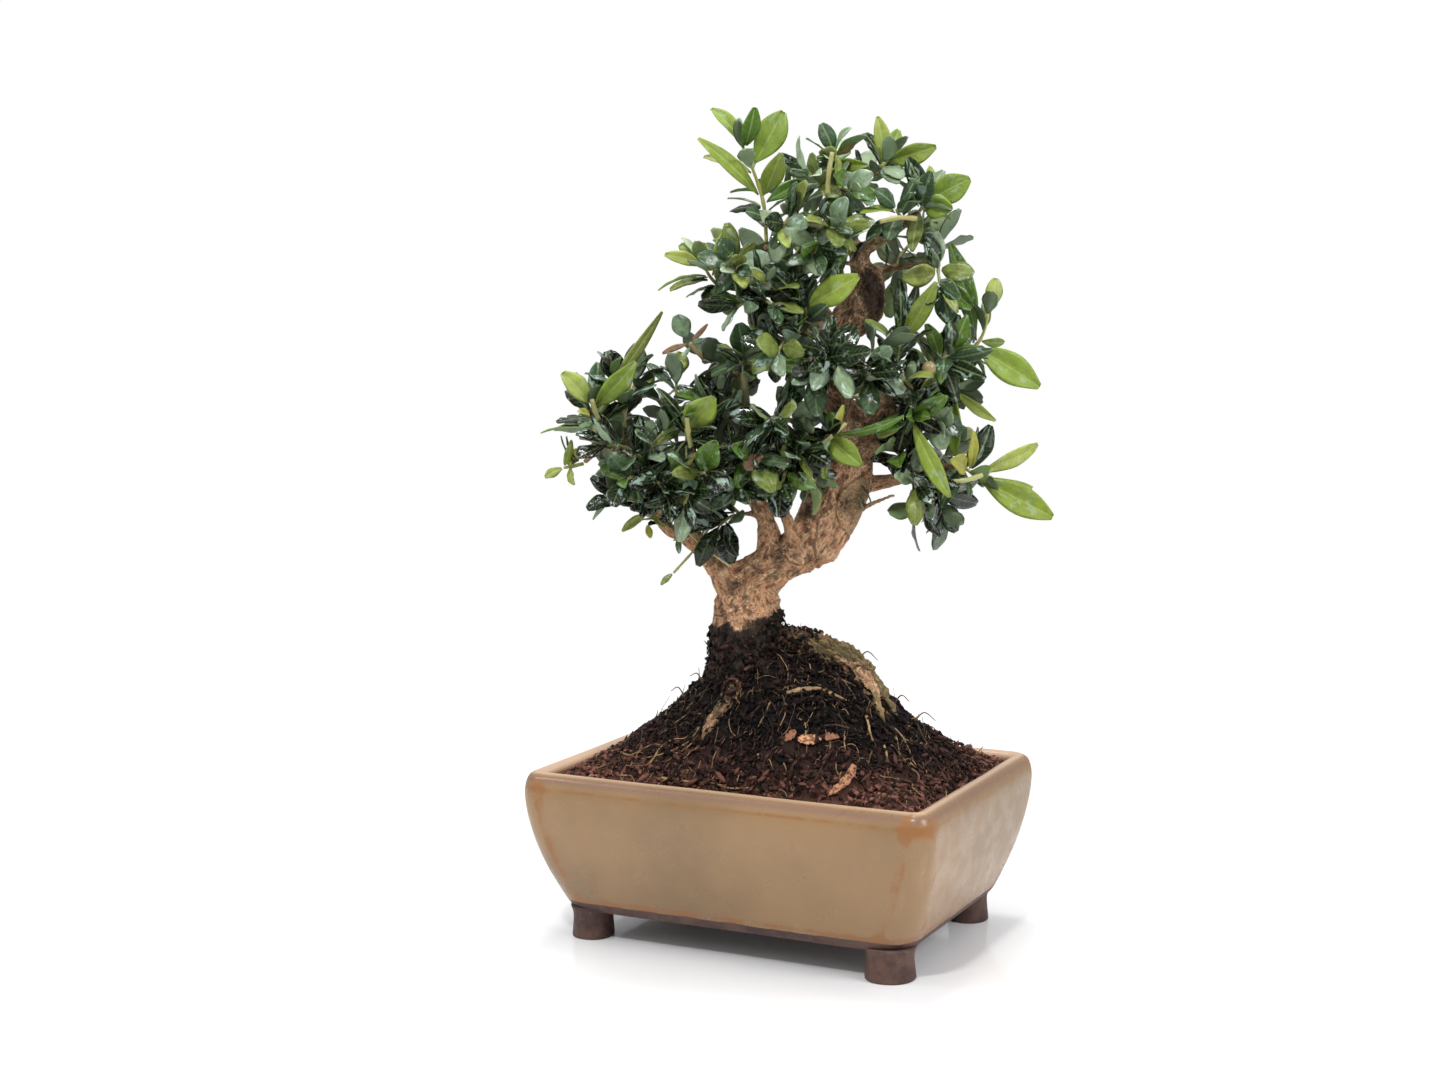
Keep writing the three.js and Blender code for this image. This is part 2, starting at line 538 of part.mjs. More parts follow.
// Round tapered limb along such a line, with flat ends and an offset added to its radius
function limbSolid(line, sides, swell = 0) {
  const steps = line.spans;
  let across = new THREE.Vector3();
  const sections = [];
  for (let i = 0; i <= steps; i++) {
    const t = i / steps;
    const along = line.direction(t);
    if (i === 0) across.crossVectors(along, Math.abs(along.z) > 0.9 ? new THREE.Vector3(1, 0, 0) : UP);
    across.addScaledVector(along, -across.dot(along)).normalize();
    const side = new THREE.Vector3().crossVectors(along, across);
    const centre = line.place(t);
    const radius = line.radius(t) + swell;
    if (i === 0) centre.addScaledVector(along, -swell);
    if (i === steps) centre.addScaledVector(along, swell);
    const ring = [];
    for (let k = 0; k < sides; k++) {
      const angle = (k / sides) * 2 * Math.PI;
      const spoke = across.clone().multiplyScalar(Math.cos(angle)).addScaledVector(side, Math.sin(angle));
      ring.push(centre.clone().addScaledVector(spoke, radius));
    }
    sections.push(ring);
  }
  return loftSolid(sections);
}

// Turn from the viewer's frame to the pot's
const TURN = new THREE.Matrix4().makeRotationZ(POT_TURN);
const TURN_BACK = TURN.clone().invert();

// Root that lies on the mound, sunk by shares of its radius, in the viewer's frame
function rootLine(run) {
  const points = run.map(([right, away, radius, sunk]) => {
    const point = new THREE.Vector3(right, away, 0).applyMatrix4(TURN);
    point.z = moundHeight(point.x, point.y) - sunk * radius;
    return point.applyMatrix4(TURN_BACK);
  });
  return limbLine(points, run.map(([, , radius]) => radius));
}

// Start of a leafy stem just past the flat end of its bare twig, so that its own flat end stays clear
function stemStart(twig, next) {
  const end = twig.place(1);
  const along = twig.direction(1);
  const lean = along.angleTo(next.clone().sub(end));
  return end.addScaledVector(along, GAP + STEM_RADIUS * Math.sin(lean));
}

// Stem through points, thinning towards its tip
function stemLine(points) {
  const last = points.length - 1;
  return limbLine(points, points.map((_, i) => STEM_RADIUS * (1 - (0.3 * i) / last)));
}

// One blade, as a base, a chord to its tip and the side that faces up
function makeLeaf(base, tip, facing, width) {
  const chord = tip.clone().sub(base);
  const length = chord.length();
  const along = chord.clone().normalize();
  const up = facing.clone().addScaledVector(along, -facing.dot(along)).normalize();
  const side = new THREE.Vector3().crossVectors(along, up);
  return { base, chord, length, up, side, width };
}

// Half of the blade's width at a place along it, on a short stalk
function halfWidth(leaf, along) {
  const blade = Math.max(0, (along - 0.08) / 0.92);
  const outline = Math.sin(Math.PI * Math.min(1, blade) ** 1.12) ** 0.72;
  return 0.35 * (1 - along) + (leaf.width / 2) * outline;
}

// Point of a blade: along its chord, across from -1 to 1, and lifted off its middle surface
function bladePoint(leaf, along, across, lift = 0) {
  const arch = LEAF_BULGE * leaf.length * 4 * along * (1 - along);
  const half = halfWidth(leaf, along);
  const fold = LEAF_FOLD * half * Math.abs(across);
  return leaf.base
    .clone()
    .addScaledVector(leaf.chord, along)
    .addScaledVector(leaf.up, arch + fold + lift)
    .addScaledVector(leaf.side, half * across);
}

// Closed blade, flat above with a keel for the midrib below
function leafSolid(leaf) {
  const stations = leaf.length > LONG_LEAF ? [0.25, 0.52, 0.8] : [0.32, 0.74];
  const rings = stations.map((along) => {
    const keel = LEAF_THICK - LEAF_FOLD * halfWidth(leaf, along);
    return [bladePoint(leaf, along, -1), bladePoint(leaf, along, 1), bladePoint(leaf, along, 0, -keel)];
  });
  const ends = [leaf.base, bladePoint(leaf, 1, 0)].map((end) => rings[0].map(() => end));
  return solidOf(new LoftGeometry([ends[0], ...rings, ends[1]]));
}

// Points that a blade is tested by, each with its place along the blade
function leafSamples(leaf) {
  const rows = Math.ceil(leaf.length / SAMPLE_STEP);
  const columns = leaf.width > 4.5 ? 5 : 3;
  const samples = [];
  for (let row = 1; row <= rows; row++) {
    for (let column = 0; column < columns; column++) {
      const along = row / rows;
      const across = (2 * column) / (columns - 1) - 1;
      samples.push({ along, point: bladePoint(leaf, along, across) });
    }
  }
  return samples;
}

function distanceToRod(point, rod) {
  const run = rod.end.clone().sub(rod.start);
  const t = THREE.MathUtils.clamp(point.clone().sub(rod.start).dot(run) / run.lengthSq(), 0, 1);
  return point.distanceTo(rod.start.clone().addScaledVector(run, t)) - rod.radius;
}

// Short straight rods along a line, which stand for the wood when a blade is tested
function rodsAlong(line, owner) {
  const steps = line.spans * 2;
  return Array.from({ length: steps }, (_, i) => ({
    start: line.place(i / steps),
    end: line.place((i + 1) / steps),
    radius: line.radius((i + 0.5) / steps),
    owner,
  }));
}

// All wood and stems first, so that every blade can be tested against them
const woodLines = Object.values(LIMBS).map((points) =>
  limbLine(points.map((point) => seen(point)), points.map(([, , , radius]) => radius)),
);
const rootLines = Object.values(ROOTS).map(rootLine);
const twigLines = [];
const sprays = [];

for (const [name, { from, stem, leaves }] of Object.entries(SHOOTS)) {
  const [start, ...points] = stem.map(seen);
  const twig = limbLine([seen(from), start], [TWIG_RADIUS * 1.3, TWIG_RADIUS]);
  twigLines.push(twig);
  sprays.push({ name, stems: [{ line: stemLine([stemStart(twig, points[0]), ...points]), leaves }] });
}

for (const [name, { from, tips }] of Object.entries(SPRAYS)) {
  const root = seen(from);
  const ends = tips.map(seen);
  const middle = ends.reduce((sum, end) => sum.add(end), new THREE.Vector3()).divideScalar(ends.length);
  const bare = Math.max(BARE_SHARE, SHORTEST_TWIG / root.distanceTo(middle));
  const twig = limbLine([root, root.clone().lerp(middle, bare)], [TWIG_RADIUS * 1.3, TWIG_RADIUS]);
  twigLines.push(twig);
  const bent = (start, end) => {
    const bend = start.clone().lerp(end, 0.5);
    bend.z += STEM_BOW * start.distanceTo(end);
    return bend;
  };
  const bend = bent(twig.place(1), ends[0]);
  const first = stemLine([stemStart(twig, bend), bend, ends[0]]);
  const fork = first.place(FORK_PLACE);
  const others = ends.slice(1).map((end) => stemLine([fork, bent(fork, end), end]));
  sprays.push({ name, stems: [first, ...others].map((line) => ({ line })) });
}

const rods = [...woodLines, ...rootLines, ...twigLines].flatMap((line) => rodsAlong(line, "wood"));
for (const spray of sprays) {
  for (const { line } of spray.stems) rods.push(...rodsAlong(line, spray.name));
}
const placed = [];

// Whether a blade is clear of the wood, of other sprays' stems and of the blades placed so far
function isClear(leaf, owner) {
  const samples = leafSamples(leaf);
  const middle = leaf.base.clone().addScaledVector(leaf.chord, 0.5);
  const reach = leaf.length / 2 + 1;
  for (const rod of rods) {
    if (distanceToRod(middle, rod) > reach + CLEAR_WOOD) continue;
    const start = rod.owner === owner ? 0.45 : 0.2;
    for (const { along, point } of samples) {
      if (along > start && distanceToRod(point, rod) < CLEAR_WOOD) return false;
    }
  }
  for (const other of placed) {
    if (other.middle.distanceTo(middle) > reach + other.reach + CLEAR_OTHER) continue;
    const same = other.owner === owner;
    const least = same ? CLEAR_OWN : CLEAR_OTHER;
    for (const mine of samples) {
      if (same && mine.along < 0.35) continue;
      for (const theirs of other.samples) {
        if (same && theirs.along < 0.35) continue;
        if (mine.point.distanceTo(theirs.point) < least) return false;
      }
    }
  }
  placed.push({ samples, middle, reach, owner });
  return true;
}

// Leaves of a bright shoot, turned a little further each time one isn't clear
function shootLeaves(spray, { line, leaves }) {
  const made = [];
  leaves.forEach(([place, tipSeen, width, roll]) => {
    const base = line.place(place);
    const tip = seen(tipSeen);
    const chord = tip.clone().sub(base).normalize();
    const toViewer = new THREE.Vector3(0, -1, 0.25).normalize();
    for (const [turn, size, push] of SHOOT_TRIES) {
      const facing = toViewer.clone().applyAxisAngle(chord, THREE.MathUtils.degToRad(roll + turn));
      const end = base.clone().lerp(tip, size);
      end.y += push;
      const leaf = makeLeaf(base, end, facing, width);
      if (isClear(leaf, spray.name)) {
        made.push(leaf);
        break;
      }
    }
  });
  return made;
}

// Leaves of an ordinary stem, in pairs that cross each other, wider open near its foot
function stemLeaves(spray, { line }, seed) {
  const made = [];
  PAIR_PLACES.forEach((place, pair) => {
    for (const half of [0, 1]) {
      const random = randomFrom(seed * 977 + pair * 31 + half * 7);
      const t = place - half * PAIR_STAGGER;
      const along = line.direction(t);
      const level = new THREE.Vector3().crossVectors(along, UP).normalize();
      const jitter = (random() - 0.5) * 0.7;
      const length = DARK_LEAF.length * (0.82 + 0.36 * random());
      const width = DARK_LEAF.width * (0.85 + 0.3 * random());
      const tilt = (random() - 0.5) * 0.7;
      const opening = pair === PAIR_PLACES.length - 1 ? 0.6 : 1.1;
      for (const [swing, close, size] of SPRAY_TRIES) {
        const angle = pair * (Math.PI / 2) + half * Math.PI + jitter + swing;
        const out = level.clone().applyAxisAngle(along, angle);
        const open = opening - close;
        const chord = along.clone().multiplyScalar(Math.cos(open)).addScaledVector(out, Math.sin(open));
        chord.z += 0.1;
        const base = line.place(t);
        const tip = base.clone().addScaledVector(chord.normalize(), length * size);
        const facing = along.clone().addScaledVector(UP, 0.6).applyAxisAngle(chord, tilt);
        const leaf = makeLeaf(base, tip, facing, width * size);
        if (isClear(leaf, spray.name)) {
          made.push(leaf);
          break;
        }
      }
    }
  });
  return made;
}

for (const spray of sprays) {
  spray.stems.forEach((stem) => {
    if (stem.leaves) stem.blades = shootLeaves(spray, stem);
  });
}
sprays.forEach((spray, number) => {
  spray.stems.forEach((stem, index) => {
    if (!stem.leaves) stem.blades = stemLeaves(spray, stem, number * 5 + index);
  });
});

// Node of one spray: its stems and its blades, grown together
function spraySolid(spray) {
  const pieces = [];
  for (const { line, blades, leaves } of spray.stems) {
    pieces.push(limbSolid(line, leaves ? 4 : 3));
    for (const leaf of blades) pieces.push(leafSolid(leaf));
  }
  return biggest(joined(pieces));
}

// Trunk, limbs, surface roots and bare twigs, grown as one piece, with an offset for the hole it stands in
function woodSolid(swell = 0) {
  const sidesFor = (radius) => (radius > 9 ? 9 : radius > 4 ? 6 : 4);
  const limbs = woodLines.map((line) => limbSolid(line, sidesFor(line.radius(0)), swell));
  const roots = rootLines.map((line) => limbSolid(line, 5, swell));
  const twigs = swell ? [] : twigLines.map((line) => limbSolid(line, 3));
  return joined([...limbs, ...roots, ...twigs]);
}

const GLAZE = new THREE.MeshStandardMaterial({ color: 0x9c8066, roughness: 0.42, metalness: 0 });
const PEAT = new THREE.MeshStandardMaterial({ color: 0x2e2220, roughness: 0.95, metalness: 0 });
const BARK = new THREE.MeshStandardMaterial({ color: 0xa57c5e, roughness: 0.85, metalness: 0 });
const DARK_LEAVES = new THREE.MeshStandardMaterial({ color: 0x2a4434, roughness: 0.35, metalness: 0 });
const BRIGHT_LEAVES = new THREE.MeshStandardMaterial({ color: 0x86a440, roughness: 0.45, metalness: 0 });

const standing = new THREE.Group();
const tree = new THREE.Group();
tree.rotation.z = POT_TURN;
standing.add(tree);

const soilTurned = soilSolid().transform([...TURN_BACK.elements]);
tree.add(meshOf("trunk", woodSolid(), BARK));
tree.add(meshOf("soil", biggest(soilTurned.subtract(woodSolid(GAP + 0.05))), PEAT));
for (const spray of sprays) {
  tree.add(meshOf(spray.name, spraySolid(spray), spray.name in SHOOTS ? BRIGHT_LEAVES : DARK_LEAVES));
}
standing.add(meshOf("pot", potSolid(), GLAZE));

// The origin is under the middle of the whole plant's box
const box = new THREE.Box3().setFromObject(standing, true);
standing.position.set(-(box.min.x + box.max.x) / 2, -(box.min.y + box.max.y) / 2, -box.min.z);

const bonsai = new THREE.Group();
bonsai.add(standing);

export default bonsai;
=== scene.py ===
"""Looks of the dwarf olive bonsai: fine leaves, bark, peat and glaze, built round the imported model."""
import math

import bpy
import numpy as np
from mathutils import Matrix, Vector, noise
from mathutils.kdtree import KDTree


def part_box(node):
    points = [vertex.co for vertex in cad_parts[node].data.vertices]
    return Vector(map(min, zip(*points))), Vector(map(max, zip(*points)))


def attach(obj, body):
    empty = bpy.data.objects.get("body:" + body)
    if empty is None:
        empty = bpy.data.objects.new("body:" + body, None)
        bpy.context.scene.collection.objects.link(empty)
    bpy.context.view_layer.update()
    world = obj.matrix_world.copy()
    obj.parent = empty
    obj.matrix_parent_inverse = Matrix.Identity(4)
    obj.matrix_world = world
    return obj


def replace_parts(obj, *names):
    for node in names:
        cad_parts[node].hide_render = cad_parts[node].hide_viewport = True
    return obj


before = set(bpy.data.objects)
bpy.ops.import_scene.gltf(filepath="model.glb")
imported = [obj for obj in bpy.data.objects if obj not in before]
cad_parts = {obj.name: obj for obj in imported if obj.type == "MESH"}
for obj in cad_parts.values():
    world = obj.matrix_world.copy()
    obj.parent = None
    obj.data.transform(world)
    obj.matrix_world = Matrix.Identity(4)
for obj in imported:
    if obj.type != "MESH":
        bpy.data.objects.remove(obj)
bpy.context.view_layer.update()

# Lengths are in millimetres until a piece is made. The viewer's frame has right, away and up; the pot's
# frame is that one turned, with its origin on the ground under the pot's middle.
MM = 0.001
LOW, HIGH = (np.array(corner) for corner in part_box("pot"))
POT_MIDDLE = np.array([(LOW[0] + HIGH[0]) / 2, (LOW[1] + HIGH[1]) / 2, LOW[2]])

# How far the pot is turned from facing the viewer, and where the viewer's eye is
POT_TURN = math.radians(26.3)
EYE_RIGHT, EYE_DISTANCE, EYE_UP = -23, 854, 257

# The pot's walls draw in from their widest height down to the feet
POT_LENGTH, POT_DEPTH = 170, 123
FOOT_HEIGHT, WIDEST_AT = 11, 58
BOTTOM_INSET_X, BOTTOM_INSET_Y, WALL_CURVE = 13, 11.5, 1.8
CORNER_AT_RIM, CORNER_AT_BOTTOM = 8, 12
RIM_WIDTH = 8.6
# Outer foot line, wall, rim and inner wall, as height, inset from the wall and loss of corner radius
POT_PROFILE = [
    (11, 3.4, 3.4), (11.15, 2.2, 2.2), (12.2, 0.7, 0.7), (15, 0, 0), (22, 0, 0), (30, 0, 0), (40, 0, 0),
    (50, 0, 0), (58, 0, 0), (61.2, 0.25, 0.25), (63.6, 0.9, 0.9), (65.7, 2.2, 2.2), (66.9, 4.3, 3),
    (66.6, 6.3, 4.2), (65.4, 7.9, 5), (63, 8.6, 5.5), (58, 8.6, 5.5), (44, 8, 5), (24, 8, 5), (18.6, 9.4, 5),
    (18, 11, 5),
]
WALL_RINGS, CLAY_SWAY, WAVY_ABOVE = 92, 0.3, 55
# Side and end that each foot stands on, with its radius, and the foot's height and share of that radius
FEET = [(-1, -1, 8.3), (1, -1, 9.6), (1, 1, 8.0), (-1, 1, 8.6)]
FOOT_SHAPE = [
    (0, 0.92), (0.05, 0.97), (0.5, 1.0), (1.4, 1.0), (3, 0.985), (5, 0.965), (7, 0.95), (8.8, 0.945),
    (10, 0.96), (11, 0.99), (11.8, 1.03), (12.6, 1.05),
]
FOOT_X, FOOT_Y = 63, 42
DRAIN_RADIUS, DRAIN_SPACING, DRILL_FROM_TO = 6, 64, (5, 24)

# Gap of the peat to the pot and of a stem to its twig; the peat's edge, its rings below, and the mound's
# middle, reach and rise
GAP = 0.3
SOIL_EDGE, SOIL_SIDE, MOUND_RINGS = 62.5, (24.0, 44.0, 60.5), 120
MOUND_X, MOUND_Y, MOUND_REACH_X, MOUND_REACH_Y, MOUND_RISE, MOUND_STEEP = 2, 1, 46, 37, 52.5, 2.8
MOUND_OVAL_X, MOUND_OVAL_Y = 72, 50

# Leaves, stems and bare twigs, with the least distances that keep a blade clear of the others and of wood
LEAF_BULGE, LEAF_FOLD = 0.07, 0.16
STEM_RADIUS, TWIG_RADIUS = 0.75, 1.15
SHORTEST_TWIG, BARE_SHARE = 8, 0.36
STEM_BOW, FORK_PLACE = 0.1, 0.12
CLEAR_OTHER, CLEAR_OWN, CLEAR_WOOD = 2.0, 1.3, 1.2
SAMPLE_STEP = 2.0
PAIR_PLACES, PAIR_STAGGER = (0.5, 0.93), 0.14
LEAF_LENGTH, LEAF_WIDTH = 16.5, 8.4
# Ways to set a leaf anew that isn't clear. On a shoot: more roll, its size and a push away from the viewer;
# on a spray: a swing, how far it closes towards the stem, and its size
SHOOT_TRIES = [
    (0, 1, 0), (20, 1, 0), (-20, 1, 0), (35, 1, 4), (-35, 1, -4), (10, 0.9, 8), (-10, 0.9, -8), (0, 0.8, 12),
    (0, 0.8, -12),
]
SPRAY_TRIES = [
    (0, 0, 1), (0.5, 0, 1), (-0.5, 0, 1), (0.9, 0.2, 0.9), (-0.9, 0.2, 0.9), (0.3, -0.4, 0.8), (1.4, 0, 0.8),
]

# Limbs, as right, away, up and radius, seen from the viewer's side
LIMBS = {
    "trunk": [
        [-13, 0, 76, 20], [-14, 0, 92, 17], [-14, 0, 107, 14.8], [-14, 0, 120, 14.3], [-13.5, 0, 130, 13.2],
        [-11, -1, 138.5, 10.4], [-2, -2, 146, 8.8], [6, -2, 151, 9.2], [13, -2, 156, 11.2],
        [18.5, -1, 166, 11.8], [21.8, 0, 176.5, 12.8], [24.8, 0, 187, 11], [25.5, 0, 196, 9.4],
        [23.5, 0, 205, 6.8], [18.5, 0, 214, 6], [17, 0, 226, 5.8], [23, 0, 236, 7], [31, 1, 246, 9.2],
        [33.5, 1, 254.5, 6.6], [30.5, 0, 261, 4.6], [29.5, 0, 270, 3.2],
    ],
    "left_branch": [
        [-15, -1, 132, 9], [-24, -3, 144, 5.8], [-31.5, -4, 152, 4], [-38, -5, 156.5, 2.9],
        [-46, -6, 161.5, 2.7], [-52, -6, 177, 2.9], [-61.5, -8, 188.5, 3.2], [-69, -9, 194, 2.4],
    ],
    "left_arm": [
        [-26, -4, 145, 3.4], [-31, -5, 154, 2.2], [-35, -8, 161.5, 2], [-36.5, -12, 176, 1.9],
        [-36.5, -15, 187, 1.8],
    ],
    "middle_branch": [
        [-6, -1, 141, 7], [-5.5, -4, 155, 4.6], [-7, -6, 165, 3.7], [-12, -8, 175, 3.2], [-16, -10, 185, 2.7],
        [-14, -12, 207, 1.9], [-15, -13, 220, 1.5],
    ],
    "inner_branch": [
        [7, -3, 149, 6], [3, -8, 160.5, 2.6], [0.5, -10, 169, 2.1], [-1.5, -14, 188, 1.8],
        [-2.5, -18, 202, 1.5],
    ],
    "right_arm": [
        [26, 0, 190, 8], [34.5, 1, 197, 6.5], [40, 2, 207, 5.4], [49, 2, 213.5, 4.6], [57, 0, 222, 3.9],
    ],
    "low_right": [[26, 1, 177, 5], [36, 4, 177.5, 3.4], [53, 8, 181, 2.2], [64, 8, 184, 1.7]],
    "stub": [[28, -4, 166, 2], [34, -9, 169, 1.1], [44, -14, 173, 0.9]],
    "upper_left": [
        [18, -1, 227, 4.4], [8, -6, 236, 2.4], [-4, -8, 244, 2], [-12, -8, 252, 1.9], [-10, -10, 259, 1.7],
        [-6.5, -11, 264, 1.5],
    ],
    "front_riser": [
        [24, -4, 196, 3.6], [24.5, -13, 207, 2.2], [24, -15, 221, 1.9], [14, -16, 230, 1.6],
        [9.5, -16, 236, 1.5],
    ],
    "right_top": [[29.5, 0, 266, 3.4], [38, -2, 272, 2.6], [46, -4, 277, 2.2], [51, -5, 280.5, 2.2]],
    "left_top": [[29, 0, 267, 3.2], [17, -3, 274, 2.1], [9.5, -5, 278, 2]],
    "crown": [[29, 1, 267, 3.2], [24.5, 2, 276, 2.6], [19.5, 2, 285, 2.3], [20, 1, 297, 1.7]],
    "crown_right": [[20, 2, 286, 2], [29, 1, 293, 1.4], [36, 0, 296.5, 1.2]],
    "side_right": [[28, 1, 257, 3.4], [41, 3, 260.5, 1.9], [52, 2, 261.5, 1.4]],
    "back_low": [[-4, 4, 146, 7], [-6, 20, 162, 3.6], [-14, 34, 176, 2.6], [-18, 42, 188, 1.9]],
    "back_middle": [[25, 3, 186, 7], [26, 22, 199, 3.6], [20, 38, 212, 2.6], [14, 47, 222, 1.9]],
    "back_right": [[27, 3, 194, 6], [42, 20, 206, 3], [52, 33, 214, 2]],
    "back_high": [[20, 2, 236, 5], [14, 17, 246, 2.6], [7, 28, 254, 1.9]],
}

# Surface roots, each lying on the mound, as right, away, radius and the share of it that its middle is sunk
# by. How wet its bark is from start to end, how much of its start lies under peat, and how mossy it is
ROOTS = {
    "arch": {
        "wet": [0.5, 0.45, 0.42, 0.4, 0.39, 0.34], "buried": 0.1, "moss": 0.19,
        "run": [
            [-4, -2, 7, -0.1], [5, -5, 5.2, -0.1], [15, -8, 7, -0.1], [25, -9.5, 6.4, -0.1],
            [32.5, -11.5, 5.6, -0.1], [38, -14, 3.8, 0], [43, -17, 2.2, 0.3], [48, -19, 1.2, 0.8],
        ],
    },
    "arch_fork": {
        "wet": [0.35, 0.28, 0.22], "buried": 0.02, "moss": 0.1,
        "run": [[27, -11, 3.6, 0], [32.5, -16, 2.6, -0.2], [36, -21, 2, -0.3], [39, -28, 1.4, -0.2]],
    },
    "pale": {
        "wet": [0.6, 0.1, 0.05], "buried": 0.36, "moss": 0.0,
        "run": [
            [-8, -12, 3.4, 0.6], [-5, -20, 2, 1.4], [-0.5, -26.3, 1.1, 0.6], [6, -26.8, 1.3, -0.4],
            [13.6, -27, 1.3, -0.5], [21.2, -27.6, 1.2, -0.5], [28.5, -26.6, 1, -0.2],
        ],
    },
    "left": {
        "wet": [0.6, 0.46, 0.43, 0.4], "buried": 0.1, "moss": 0.08,
        "run": [
            [-15, -9, 6, 0.3], [-17.5, -16, 4.2, 0.1], [-22, -20, 3.6, 0.05], [-27, -23.5, 3, 0.1],
            [-32, -26.5, 2, 0.3],
        ],
    },
    "back": {
        "wet": [0.5, 0.4], "buried": 0.3, "moss": 0.08,
        "run": [[-14, 8, 7, 0.25], [-18, 20, 4, 0.25], [-26, 30, 2.4, 0.25], [-36, 36, 1.5, 0.25]],
    },
    "back_right": {
        "wet": [0.5, 0.4], "buried": 0.3, "moss": 0.08,
        "run": [[-4, 8, 6, 0.25], [8, 18, 3.8, 0.25], [20, 26, 2.4, 0.25], [32, 30, 1.5, 0.25]],
    },
}

